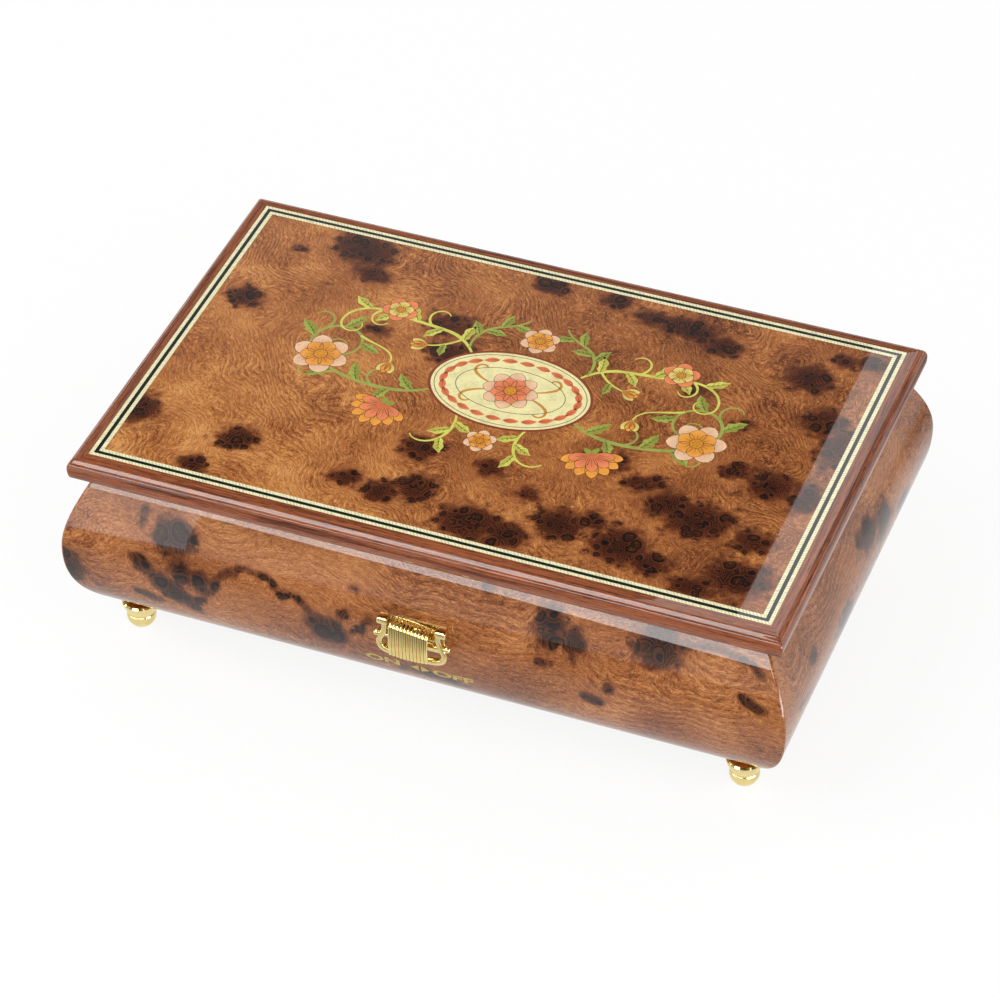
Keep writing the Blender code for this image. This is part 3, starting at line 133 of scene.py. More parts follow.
class Graph(Nodes):
    """The nodes of one material."""

    def __init__(self, name):
        self.material = bpy.data.materials.new(name)
        self.material.use_nodes = True
        super().__init__(self.material.node_tree)
        self.shader = self.tree.nodes["Principled BSDF"]

    def vector(self, operation, *values, out=0):
        inputs = dict(enumerate(values))
        return self.make("VectorMath", inputs, operation=operation).outputs[out]

    def dot(self, vector, direction):
        return self.vector("DOT_PRODUCT", vector, direction, out="Value")

    def scaled(self, vector, factor):
        inputs = {"Vector": vector, "Scale": factor}
        return self.make("VectorMath", inputs, operation="SCALE").outputs[0]

    def combined(self, x, y, z):
        return self.make("CombineXYZ", {"X": x, "Y": y, "Z": z}).outputs[0]

    def noise(self, vector, scale, detail=2.0, roughness=0.5, distortion=0.0, out="Fac"):
        inputs = {"Vector": vector, "Scale": scale, "Detail": detail, "Roughness": roughness,
                  "Distortion": distortion}
        return self.make("TexNoise", inputs).outputs[out]

    def grain(self, vector, factors, detail=2.0, roughness=0.5, scale=1.0):
        """Noise that is long where a factor is small."""
        return self.noise(self.vector("MULTIPLY", vector, factors), scale, detail, roughness)

    def warp(self, vector, scale, reach, detail=2.0):
        """The vector moved about by up to half the reach."""
        noise = self.noise(vector, scale, detail, out="Color")
        pushed = self.vector("SUBTRACT", noise, (0.5, 0.5, 0.5))
        return self.vector("ADD", vector, self.scaled(pushed, reach))

    def span(self, value, low, high, to_low=0.0, to_high=1.0, kind="SMOOTHSTEP"):
        inputs = {"Value": value, "From Min": low, "From Max": high, "To Min": to_low,
                  "To Max": to_high}
        return self.make("MapRange", inputs, interpolation_type=kind).outputs[0]

    def near(self, value, middle, far, close):
        """1 where a value is close to the middle, 0 where it is far."""
        return self.span(self.math("ABSOLUTE", self.add(value, -middle)), far, close)

    def mix(self, share, strength, first, second):
        """The second colour over the first, by a share times a strength."""
        node = self.make("Mix", data_type="RGBA", blend_type="MIX")
        self.feed(node.inputs[0], self.times(share, strength))
        self.feed(node.inputs[6], first)
        self.feed(node.inputs[7], second)
        return node.outputs[2]

    def place(self):
        """The point on the piece, in millimetres."""
        return self.scaled(self.make("TexCoord").outputs["Object"], 1000.0)

    def veneer_place(self):
        """The point on a veneer, in millimetres along and across its side."""
        return self.scaled(self.make("UVMap", uv_map="veneer").outputs["UV"], 1000.0)

    def attribute(self, name):
        return self.make("Attribute", attribute_name=name).outputs["Fac"]

    def bump(self, height, strength, distance):
        inputs = {"Height": height, "Strength": strength, "Distance": distance * mm}
        return self.make("Bump", inputs).outputs["Normal"]

    def cover(self, output):
        """Sends a shader to the surface."""
        self.tree.links.new(output, self.tree.nodes["Material Output"].inputs["Surface"])

    def finish(self, colour, roughness, normal=None, **constants):
        self.feed(self.shader.inputs["Base Color"], colour)
        self.feed(self.shader.inputs["Roughness"], roughness)
        if normal is not None:
            self.feed(self.shader.inputs["Normal"], normal)
        for key, value in constants.items():
            self.shader.inputs[key.replace("_", " ")].default_value = value
        return self.material


LACQUER = {"Coat_Weight": 1.0, "Coat_Roughness": 0.015, "Coat_IOR": 1.5,
           "Specular_IOR_Level": 0.0}


def burl(name, palette, figure, relief, drift, grain, eye_scale, gold_way, gold_reach, ripple):
    """Burl veneer: fibres that follow a swirling field and wrap round clusters of dark eyes."""
    deep, brown, tan, gold, pale, knot, rust, core = map(linear, palette)
    g = Graph(name)
    flat = g.veneer_place()
    # Knots, and on the case one spot of painted shade under the lever
    knots = g.attribute("knots")
    loose = g.warp(flat, 0.10, 5.0, 3.0)
    swept = g.warp(flat, figure * 0.6, 30.0)

    # Eyes of many sizes, which only show inside the knots and in the case's painted shade under the
    # lever
    eye = g.make("TexVoronoi", {"Vector": loose, "Scale": eye_scale})
    pin = g.make("TexVoronoi", {"Vector": g.warp(flat, 0.3, 2.0), "Scale": eye_scale * 2.3})
    chance = g.make("SeparateColor", {"Color": eye.outputs["Color"]}).outputs[0]
    from_eye = g.math("DIVIDE", eye.outputs["Distance"], g.span(chance, 0, 1, 0.55, 1.25))
    mottled = g.add(g.noise(loose, 0.2, 4.0, 0.65), -0.5)
    ragged = g.add(g.times(mottled, 0.9, g.times(from_eye, -0.16, knots)), 0.09)
    cluster = g.span(ragged, 0.30, 0.48)
    fringe = g.span(ragged, 0.08, 0.40)

    # Field whose level lines the fibres follow
    field = g.times(g.noise(swept, figure, 2.0, 0.4), relief, g.dot(flat, drift))
    field = g.times(g.times(from_eye, fringe), 0.7, g.times(knots, 0.8, field))
    x, y, _ = g.make("SeparateXYZ", {"Vector": flat}).outputs
    thread = g.combined(g.times(field, grain), g.times(x, 0.24), g.times(y, 0.24))
    fibre = g.add(g.noise(thread, 1.2, 5.0, 0.80), -0.5)
    cloud = g.add(g.noise(swept, figure * 1.5, 3.0), -0.5)
    calm = g.span(g.noise(flat, 0.018, 1.0), 0.40, 0.58)
    waves = g.math("SINE", g.times(fibre, 5.0, g.times(field, grain * ripple)))
    waves = g.times(waves, g.span(calm, 0, 1, 0.06, 0.02))
    across = g.times(cloud, 90.0, g.dot(flat, gold_way))
    golden = g.span(across, *gold_reach, 0.05, -0.10, "LINEAR")
    tone = g.times(fibre, g.span(calm, 0, 1, 1.35, 0.95), 0.50)
    tone = g.add(g.add(g.times(cloud, 0.75, tone), waves), golden)
    tone = g.times(fringe, -0.20, tone)
    base = g.ramp(tone, (0.16, deep), (0.34, brown), (0.50, tan), (0.64, gold), (0.84, pale))
    grit = g.combined(g.times(field, grain * 2.4), g.times(x, 0.8), g.times(y, 0.8))
    flecks = g.noise(grit, 1.0, 2.0, 0.6)
    base = g.mix(g.span(flecks, 0.55, 0.68), 0.58, base, deep)
    base = g.mix(g.span(flecks, 0.43, 0.31), 0.50, base, pale)

    # Dark knots, their rings, and cores with bright cracks
    rings = g.math("SINE", g.times(mottled, 9.0, g.times(from_eye, 30.0)))
    stain = g.mix(g.span(rings, -0.8, 0.9), 1.0, knot, rust)
    stain = g.mix(g.span(pin.outputs["Distance"], 0.26, 0.08), 0.85, stain, core)
    stain = g.mix(g.near(from_eye, 0.52, 0.10, 0.02), 0.35, stain, brown)
    base = g.mix(fringe, 0.40, base, rust)
    base = g.mix(cluster, 0.88, base, stain)
    pupil = g.span(g.times(mottled, 0.3, from_eye), 0.60, 0.26)
    pupil = g.times(pupil, g.span(ragged, 0.20, 0.38))
    base = g.mix(pupil, g.span(rings, -0.9, 0.9, 0.90, 0.62), base, core)
    base = g.mix(g.span(ragged, 0.42, 0.95), g.span(rings, -0.9, 0.9, 0.80, 0.40), base, core)
    cracks = g.near(g.noise(loose, 0.75, 4.0, 0.7, 1.0), 0.5, 0.022, 0.004)
    glint = g.times(cracks, g.span(from_eye, 0.30, 0.14))
    base = g.mix(g.times(glint, cluster), 0.5, base, tan)
    return g.finish(base, g.span(fibre, -0.3, 0.3, 0.42, 0.6), **LACQUER)


def straight_grain(name, *palette):
    """Straight-grained veneer under lacquer: long bands along the side and short dark pores."""
    light, middle, dark, pore = map(linear, palette)
    g = Graph(name)
    flat = g.warp(g.veneer_place(), 0.012, 2.5)
    bands = g.grain(flat, (0.006, 0.55, 1.0), 4.0, 0.62)
    fine = g.grain(flat, (0.05, 3.2, 1.0), 3.0, 0.65)
    tone = g.times(g.add(fine, -0.5), 0.8, bands)
    base = g.ramp(tone, (0.30, dark), (0.44, middle), (0.56, light), (0.70, middle))
    streaks = g.span(g.grain(flat, (0.014, 1.5, 1.0), 3.0, 0.6), 0.55, 0.63)
    base = g.mix(streaks, 0.72, base, pore)
    pores = g.span(g.grain(flat, (0.16, 5.0, 1.0)), 0.57, 0.64)
    base = g.mix(pores, 0.85, base, pore)
    return g.finish(base, g.span(fine, 0.3, 0.7, 0.4, 0.55), **LACQUER)


def stringing(name, colour, hatch):
    """Thin strip of end-cut veneer: fine slanting lines across the strip."""
    colour = linear(colour)
    g = Graph(name)
    slant = g.make("VectorRotate", {"Vector": g.veneer_place(), "Angle": 0.6}).outputs[0]
    grain = g.grain(slant, (2.4, 0.22, 1.0))
    strokes = g.math("SINE", g.times(grain, 6.0, g.dot(slant, (5.2, 0.0, 0.0))))
    base = g.ramp(g.times(strokes, 0.16, grain), (0.34, darker(colour, hatch)), (0.56, colour))
    return g.finish(base, 0.5, **LACQUER)


def dyed_veneer(name, colour):
    """Dyed wood of one inlaid shape: fine grain, slight clouds, and edges scorched in sand."""
    colour = linear(colour)
    g = Graph(name)
    flat = g.veneer_place()
    grain = g.grain(flat, (0.5, 3.6, 1.0), 3.0, 0.6)
    tone = g.times(g.add(g.noise(flat, 0.16), -0.5), 0.6, grain)
    base = g.ramp(tone, (0.3, darker(colour, 0.74)), (0.52, colour), (0.72, darker(colour, 1.08)))
    base = g.mix(g.attribute("scorch"), 0.8, base, darker(colour, 0.50, 0.33, 0.26))
    return g.finish(base, g.span(grain, 0.3, 0.7, 0.45, 0.6), **LACQUER)


def metal(name, colour, worn, roughness):
    """Polished metal with faint clouding and fine scratches."""
    g = Graph(name)
    place = g.place()
    cloud = g.noise(place, 0.3, 3.0)
    scratch = g.grain(place, (0.4, 5.0, 5.0), 3.0, 0.6, 1.2)
    tone = g.times(cloud, 0.7, g.times(scratch, 0.3))
    base = g.ramp(tone, (0.3, linear(worn)), (0.55, linear(colour)))
    rough = g.span(scratch, 0.3, 0.75, roughness * 0.7, roughness * 1.6)
    return g.finish(base, rough, g.bump(scratch, 0.05, 0.02), Metallic=1.0)


def plain_wood(name, light, dark):
    g = Graph(name)
    place = g.warp(g.place(), 0.02, 6.0)
    fine = g.grain(place, (0.08, 2.2, 2.2), 3.0)
    tone = g.times(g.grain(place, (0.015, 0.3, 0.3), 4.0, 0.6), 0.7, g.times(fine, 0.3))
    base = g.ramp(tone, (0.35, linear(dark)), (0.6, linear(light)))
    return g.finish(base, g.span(fine, 0.3, 0.7, 0.35, 0.5), g.bump(fine, 0.08, 0.05),
                    Coat_Weight=0.3, Coat_Roughness=0.15)


def felt_cloth(name, light, dark):
    g = Graph(name)
    place = g.place()
    fuzz = g.noise(place, 2.4, 4.0, 0.75, 0.6)
    tone = g.times(fuzz, 0.7, g.times(g.noise(place, 0.08, 3.0), 0.3))
    base = g.ramp(tone, (0.3, linear(dark)), (0.65, linear(light)))
    return g.finish(base, 0.95, g.bump(fuzz, 0.6, 0.2), Sheen_Weight=0.4, Sheen_Roughness=0.5)


def clear_glass(name):
    g = Graph(name)
    waves = g.noise(g.place(), 0.03)
    return g.finish((0.96, 0.985, 0.975, 1.0), 0.01, g.bump(waves, 0.02, 0.05),
                    Transmission_Weight=1.0, IOR=1.5)


BURL_LID = burl("burl_lid", ((84, 40, 19), (134, 74, 38), (178, 108, 58), (210, 142, 78),
                             (234, 174, 110), (44, 17, 9), (100, 45, 22), (19, 8, 6)),
                figure=0.026, relief=2.2, drift=(0.030, 0.022, 0.0), grain=27.0, eye_scale=0.185,
                gold_way=(0.8, 0.7, 0.0), gold_reach=(-120.0, 80.0), ripple=2.2)
BURL_CASE = burl("burl_case", ((74, 36, 19), (122, 66, 36), (166, 100, 56), (194, 128, 76),
                               (224, 164, 104), (44, 24, 16), (98, 52, 29), (17, 13, 12)),
                 figure=0.018, relief=2.6, drift=(0.0, 0.055, 0.0), grain=22.0, eye_scale=0.13,
                 gold_way=(0.0, 1.0, 0.0), gold_reach=(-20.0, 110.0), ripple=1.3)
ROSEWOOD = straight_grain("rosewood_moulding", (172, 100, 62), (140, 76, 48), (98, 50, 34),
                          (52, 26, 20))
CREAM_LINE = stringing("cream_line", (255, 250, 204), 0.66)
BLACK_LINE = stringing("ebony_line", (36, 38, 30), 0.5)
BRASS = metal("polished_brass", (244, 224, 158), (232, 206, 132), 0.10)
MOVEMENT_BRASS = metal("movement_brass", (216, 180, 104), (196, 156, 84), 0.22)
STEEL = metal("steel", (196, 198, 204), (164, 168, 176), 0.18)
INNER_WOOD = plain_wood("inner_wood_lacquered", (150, 92, 56), (104, 58, 34))
FELT = felt_cloth("blue_felt", (40, 52, 110), (20, 26, 62))
GLASS = clear_glass("cover_glass")
GOLD_LEAF = metal("gold_lettering", (206, 182, 110), (176, 152, 84), 0.35)


# Mesh tools

def metres(x, y, z):
    """A point of the case's own frame, as the model has it."""
    return x * mm, (y + SHIFT) * mm, z * mm


def new_object(name, data):
    piece = bpy.data.objects.new(name, data)
    bpy.context.scene.collection.objects.link(piece)
    return piece


def mesh_piece(name, points, faces, materials):
    """A mesh piece from points in the case's own frame."""
    mesh = bpy.data.meshes.new(name)
    mesh.from_pydata([metres(*point) for point in points], [], faces)
    for material in materials:
        mesh.materials.append(material)
    return new_object(name, mesh)


def lay_veneer(piece, maps, values, attribute):
    """Adds the veneer's own map and how dark each point of the piece is."""
    layer = piece.data.uv_layers.new(name="veneer")
    layer.data.foreach_set("uv", [part * mm for pair in maps for part in pair])
    if values:
        stain = piece.data.attributes.new(attribute, "FLOAT", "POINT")
        stain.data.foreach_set("value", values)


def lay_flat_veneer(piece, points, faces, values, attribute):
    maps = [points[corner][:2] for face in faces for corner in face]
    lay_veneer(piece, maps, values, attribute)


def settle(piece, body, slot, *replaced):
    """Hides the solids a piece stands for and hangs the piece on the body that carries it; the slot is
    not used.
    """
    if replaced:
        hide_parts(*replaced)
    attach(piece, body)


def into_mesh(builder, mesh):
    builder.to_mesh(mesh)
    builder.free()
    return mesh


def reworked(mesh, *steps):
    """Changes a mesh in place by steps that work on its faces and edges."""
    builder = bmesh.new()
    builder.from_mesh(mesh)
    for step in steps:
        step(builder)
    into_mesh(builder, mesh)


def turn_outward(builder):
    bmesh.ops.recalc_face_normals(builder, faces=builder.faces)


def smooth(piece, angle):
    piece.data.shade_smooth()
    piece.data.set_sharp_from_angle(angle=math.radians(angle))
    return piece


def tidied(piece, angle=35):
    reworked(piece.data, turn_outward)
    return smooth(piece, angle)


def coated(piece, material, angle):
    """A piece with one material on all its faces, however it was made."""
    piece.data.materials.clear()
    piece.data.materials.append(material)
    return tidied(piece, angle)


def finished_mesh(piece):
    """A mesh of a piece with its modifiers or its curve worked out."""
    bpy.context.view_layer.update()
    seen = piece.evaluated_get(bpy.context.evaluated_depsgraph_get())
    return bpy.data.meshes.new_from_object(seen)


def from_curve(holder):
    """The mesh of a curve or a text, which it replaces."""
    mesh = finished_mesh(holder)
    bpy.data.objects.remove(holder, do_unlink=True)
    return mesh


def joined(target, *tools, operation="UNION"):
    for tool in tools:
        step = target.modifiers.new("join", "BOOLEAN")
        step.operation = operation
        step.solver = "EXACT"
        step.object = tool
        old = target.data
        target.data = finished_mesh(target)
        target.modifiers.clear()
        bpy.data.meshes.remove(old)
        bpy.data.objects.remove(tool, do_unlink=True)
    return target


def block(x_low, x_high, y_low, y_high, z_low, z_high, rounding=0.0, segments=3):
    builder = bmesh.new()
    bmesh.ops.create_cube(builder, size=1.0)
    size = ((x_high - x_low) * mm, (y_high - y_low) * mm, (z_high - z_low) * mm)
    middle = metres((x_low + x_high) / 2, (y_low + y_high) / 2, (z_low + z_high) / 2)
    bmesh.ops.scale(builder, vec=size, verts=builder.verts)
    bmesh.ops.translate(builder, vec=middle, verts=builder.verts)
    if rounding:
        bmesh.ops.bevel(builder, geom=builder.edges[:], offset=rounding * mm, segments=segments,
                        profile=0.5, affect="EDGES")
    return new_object("block", into_mesh(builder, bpy.data.meshes.new("block")))


def tube_faces(rings, count):
    """The faces between rings that have as many points each."""
    faces = []
    for start in range(0, rings * count - count, count):
        for step in range(count):
            after = (step + 1) % count
            faces.append((start + step, start + after, start + count + after,
                          start + count + step))
    return faces


def sheet_faces(rows, columns):
    """The faces of a sheet of points, and the points along each of its four sides."""
    wide = columns + 1
    faces = []
    for row in range(rows):
        for start in range(row * wide, row * wide + columns):
            faces.append((start, start + 1, start + wide + 1, start + wide))
    last = rows * wide
    sides = [range(wide), range(columns, last + wide, wide), range(last + columns, last - 1, -1),
             range(last, -1, -wide)]
    return faces, [list(side) for side in sides]


def lathe(name, profile, centre, material, sides=64, axis="Z"):
    """A turned piece from (radius, height) points that start and end on its axis."""
    points = []
    for radius, height in profile:
        for step in range(sides):
            turn = 2 * math.pi * step / sides
            a, b = radius * math.cos(turn), radius * math.sin(turn)
            local = (a, b, height) if axis == "Z" else (height, a, b)
            points.append(tuple(c + p for c, p in zip(centre, local)))
    piece = mesh_piece(name, points, tube_faces(len(profile), sides), [material])
    reworked(piece.data, lambda builder: bmesh.ops.remove_doubles(
        builder, verts=builder.verts, dist=1e-7))
    return tidied(piece, 30)


def wire(name, points, radius, material, resolution=4, thickness=()):
    """A round wire through points in the case's own frame; thickness scales its radius."""
    curve = bpy.data.curves.new(name, "CURVE")
    curve.dimensions = "3D"
    curve.bevel_depth = radius * mm
    curve.bevel_resolution = resolution
    curve.use_fill_caps = True
    spline = curve.splines.new("POLY")
    spline.points.add(len(points) - 1)
    for mark, point in zip(spline.points, points):
        mark.co = (*metres(*point), 1)
    for mark, share in zip(spline.points, thickness):
        mark.radius = share
    mesh = from_curve(new_object(name, curve))
    return coated(new_object(name, mesh), material, 50)


def merged(name, pieces, material):
    """Several meshes as one piece."""
    builder = bmesh.new()
    for piece in pieces:
        builder.from_mesh(piece.data)
        bpy.data.objects.remove(piece, do_unlink=True)
    mesh = into_mesh(builder, bpy.data.meshes.new(name))
    mesh.materials.append(material)
    return tidied(new_object(name, mesh), 40)


def bezier(start, first, second, end, steps):
    points = []
    for step in range(steps + 1):
        t = step / steps
        weights = ((1 - t) ** 3, 3 * t * (1 - t) ** 2, 3 * t * t * (1 - t), t ** 3)
        points.append(tuple(sum(w * p[i] for w, p in zip(weights, (start, first, second, end)))
                            for i in (0, 1)))
    return points


def arc(centre, radii, first, last, steps):
    points = []
    for step in range(steps + 1):
        turn = math.radians(first + (last - first) * step / steps)
        points.append((centre[0] + radii[0] * math.cos(turn),
                       centre[1] + radii[1] * math.sin(turn)))
    return points


def smooth_path(points, steps):
    """A rounded path through the given points of a plane."""
    ends = [points[0], *points, points[-1]]
    path = []
    for before, start, end, after in zip(ends, ends[1:], ends[2:], ends[3:]):
        for step in range(steps):
            t = step / steps
            place = []
            for b, s, e, a in zip(before, start, end, after):
                bend = t * (3 * (s - e) + a - b)
                place.append(s + 0.5 * t * (e - b + t * (2 * b - 5 * s + 4 * e - a + bend)))
            path.append(tuple(place))
    return path + [tuple(points[-1])]


def run_lengths(path):
    lengths = [0.0]
    for here, there in zip(path, path[1:]):
        lengths.append(lengths[-1] + math.dist(here, there))
    return lengths


# Outlines that run round the reference rectangle

CASE_CURVE = (bezier(RIM, RIM_PULL, BELLY_ABOVE, BELLY, 22)
              + bezier(BELLY, BELLY_BELOW, FOOT_PULL, UNDERSIDE, 24)[1:])
CASE_RUN = run_lengths(CASE_CURVE)


def on_case(run):
    """Offset, height and outward tilt of the case's outline at a length from the rim."""
    index = 0
    while index < len(CASE_CURVE) - 2 and run > CASE_RUN[index + 1]:
        index += 1
    here, there = CASE_CURVE[index], CASE_CURVE[index + 1]
    size = CASE_RUN[index + 1] - CASE_RUN[index]
    share = (run - CASE_RUN[index]) / size
    across, rise = (b - a for a, b in zip(here, there))
    return (here[0] + across * share, here[1] + rise * share), (-rise / size, across / size)


def run_at(height):
    """The length from the rim at which the case's outline has a height."""
    index = 0
    while CASE_CURVE[index + 1][1] > height:
        index += 1
    high, low = CASE_CURVE[index][1], CASE_CURVE[index + 1][1]
    share = (high - height) / (high - low)
    return CASE_RUN[index] + share * (CASE_RUN[index + 1] - CASE_RUN[index])


def on_front(x, run, level):
    """A point on the case's front or, by a level, above its surface."""
    (offset, height), (out, rise) = on_case(run)
    return x, -(HALF_Y + offset + out * level), height + rise * level


# Next to a corner, the first and last column of a side stay this close to it
EDGE_COLUMN = 0.3

# How far apart the veneers of neighbouring sides lie on their map
SIDE_SHIFT = 400.0


def plan_ring(offset, rounding, columns, corner_steps):
    """Points round the rectangle as (x, y, side, along, next side, along it)."""
    straight = (HALF_X + offset - rounding, HALF_Y + offset - rounding)
    corner_length = math.pi / 2 * rounding
    ring = []
    for side in range(4):
        half, other = straight if side % 2 == 0 else straight[::-1]
        count = columns[side % 2]
        inner = half - EDGE_COLUMN
        marks = [-half, -inner]
        marks += [-inner + 2 * inner * step / count for step in range(1, count)]
        marks += [inner, half]
        places = [(along, -(other + rounding), along, None, 0.0) for along in marks]
        for step in range(1, corner_steps):
            angle = math.pi / 2 * step / corner_steps
            passed = corner_length * step / corner_steps
            places.append((half + rounding * math.sin(angle), -(other + rounding * math.cos(angle)),
                           half + passed, (side + 1) % 4, passed - corner_length - other))
        c, s = math.cos(side * math.pi / 2), math.sin(side * math.pi / 2)
        for x, y, along, following, after in places:
            ring.append((x * c - y * s, x * s + y * c, side, along, following, after))
    return ring


def run_round(name, profile, materials, rounding, columns, corner_steps, zone=None, knots=None):
    """A closed (offset, height) profile run round the rectangle, with softened mitres."""
    rings = [plan_ring(offset, rounding, columns, corner_steps) for offset, height in profile]
    lengths = run_lengths(profile + profile[:1])
    count = len(rings[0])
    points = []
    stains = []
    for (offset, height), ring, run in zip(profile, rings, lengths):
        for x, y, side, along, following, after in ring:
            points.append((x, y, height))
            if knots:
                stains.append(knots(side, along, run))
    faces = []
    zones = []
    maps = []
    for level in range(len(profile)):
        below = (level + 1) % len(profile)
        for column in range(count):
            beside = (column + 1) % count
            in_corner = rings[level][column][4] is not None
            side = rings[level][beside if in_corner else column][2]
            corners = ((level, column, lengths[level]), (below, column, lengths[level + 1]),
                       (below, beside, lengths[level + 1]), (level, beside, lengths[level]))
            for ring, mark, run in corners:
                x, y, own, along, following, after = rings[ring][mark]
                if own != side:
                    along = after if following == side else rings[ring][column][3]
                maps.append((along + side * SIDE_SHIFT, run))
            faces.append(tuple(ring * count + mark for ring, mark, run in corners))
            zones.append(zone(level) if zone else 0)
    piece = mesh_piece(name, points, faces, materials)
    piece.data.polygons.foreach_set("material_index", zones)
    lay_veneer(piece, maps, stains, "knots")
    return smooth(piece, 32)


def stain_at(x, y, spots):
    """How dark the burl is at a point: the strongest of the elliptical spots."""
    strongest = 0.0
    for centre_x, centre_y, reach_x, reach_y, turn, strength in spots:
        dx, dy = x - centre_x, y - centre_y
        if max(abs(dx), abs(dy)) <= 2.2 * (reach_x + reach_y):
            a = (dx * math.cos(turn) + dy * math.sin(turn)) / reach_x
            b = (dy * math.cos(turn) - dx * math.sin(turn)) / reach_y
            strongest = max(strongest, strength * math.exp(-0.9 * (a * a + b * b)))
    return strongest


def streak(reach, strength, *path):
    """A dark streak as a row of small spots."""
    return [(x, y, reach, reach * 0.8, 0, strength) for x, y in smooth_path(path, 6)]


# Case

# Dark places of each side, knots and one spot of painted shade: (along, run from the rim, reach along,
# reach across, turn, strength)
CASE_SPOTS = (
    # Front
    [(-152, 47, 6, 8, 0, 1), (-104.4, 19, 7.4, 7.2, 0.2, 1.15), (-119, 12, 3, 8, 0.3, 0.5),
     (-119.4, 35.4, 5.4, 3.2, 0.64, 0.95), (-106, 46, 12, 4.6, 0.60, 1.15),
     (-101.5, 34, 4.2, 4.6, 0.2, 1), (-92.5, 37.6, 3.2, 6.2, 0, 0.95),
     (-117, 53, 7, 2.6, 0.3, 0.75), (-38, 45.5, 8, 5.6, 0.5, 1.15),
     (-30.2, 34.6, 2.4, 2.4, 0, 0.8), (-26.1, 22.1, 3, 2.2, 0, 0.5), (56, 17, 5.6, 8, 0.1, 1.1),
     (66.2, 20.3, 4.4, 5.2, 0, 1.1), (101, 13.4, 8, 8.6, 0, 1.15), (75.6, 45.4, 5, 3, 0.1, 0.9),
     (82.3, 37.5, 2.8, 2.4, 0, 0.6), (141, 28.4, 6, 2.2, 0.45, 0.85), (54, 33, 2.6, 2.2, 0, 0.6),
     # The spot at (4, 58) is painted shade under the lever, not a knot
     (30, 8, 4, 3, 0, 0.4), (4, 58, 16, 5, 0.1, 0.6),
     *streak(2.6, 0.46, (-96, 50), (-92, 46), (-88, 41), (-84.4, 33), (-79.5, 28.5), (-74.7, 25.5),
             (-69.6, 26.3), (-62.9, 27.1), (-57.6, 32.7), (-53.9, 32.1), (-49.3, 33.1),
             (-45.1, 37.6), (-41, 42)),
     *streak(2.6, 0.44, (-33, 46), (-29.6, 44.1), (-24.5, 40.8), (-19.4, 34.7), (-14, 32.5)),
     *streak(2.2, 0.5, (108, 12), (114, 9.7), (122, 9), (130, 9.9), (138, 11.8), (143, 16))],
    # Right
    [(-20, 44, 9, 8, 0.3, 0.8), (-62, 30, 5, 4, 0, 0.6), (12, 26, 10, 7, 0.2, 0.9),
     (30, 34, 8, 8, 0, 0.9), (58, 45, 8, 6, 0.3, 0.7),
     *streak(2.4, 0.5, (-80, 40), (-50, 48), (-20, 36), (15, 50))],
    # Back
    [(-110, 40, 10, 8, 0.2, 1), (-60, 22, 7, 6, 0, 0.9), (-20, 52, 12, 6, 0.3, 0.9),
     (30, 30, 8, 7, 0.4, 1), (84, 46, 9, 8, 0, 0.9), (124, 24, 7, 5, 0.3, 0.8),
     *streak(2.6, 0.6, (-100, 60), (-70, 40), (-40, 46), (-10, 34), (20, 46), (60, 60))],
    # Left
    [(-55, 36, 9, 7, 0.2, 1), (-8, 22, 7, 6, 0, 0.9), (40, 48, 9, 7, 0.3, 0.95),
     (66, 28, 5, 4, 0, 0.8),
     *streak(2.5, 0.6, (-75, 56), (-40, 44), (-5, 52), (30, 38))],
)


def lever_slot(y_low, y_high):
    """Cutter for the slot in which the lever's stem slides."""
    return block(LEVER_X - 6.75, LEVER_X + 2.35, y_low, y_high, CROSSBAR_Z - 1.9, CROSSBAR_Z + 1.9)


def make_case():
    offset, low = UNDERSIDE
    high = RIM[1]
    inner_low = low + BASE_THICKNESS
    base_edge, wall = -10.0, -WALL_INSET
    outer = CASE_CURVE[1:-1] + [(offset + 0.25, low + 0.2), (offset - 0.3, low)]
    inside = [(base_edge, low), (base_edge, inner_low), (wall, inner_low), (wall, BELLY[1]),
              (wall, high - 0.3), (wall + 0.3, high)]
    profile = [(RIM[0] - 0.35, high), (RIM[0], high - 0.3)] + outer + inside
    veneered = len(outer) + 1
    veneer, wood, edge = range(3)

    def zone(level):
        if level <= veneered:
            return veneer
        return edge if level == len(profile) - 1 else wood

    # How dark each point is: knots, and one spot of painted shade under the lever
    def knots(side, along, run):
        return stain_at(along, run, CASE_SPOTS[side])

    shell = run_round("case_shell", profile, [BURL_CASE, INNER_WOOD, ROSEWOOD], rounding=1.1,
                      columns=(200, 124), corner_steps=4, zone=zone, knots=knots)
    past = 20
    seat_low = 86.85
    leaf_seats = [block(x - HINGE_HALF, x + HINGE_HALF, HINGE_FRONT, HALF_Y + past, seat_low,
                        high + past) for x in (-HINGE_X, HINGE_X)]
    joined(shell, lever_slot(-HALF_Y - past, -HALF_Y + past), *leaf_seats, operation="DIFFERENCE")
    smooth(shell, 32)
    settle(shell, "case", "burl_veneer", "front_panel", "right_panel", "back_panel", "left_panel")


# Lid

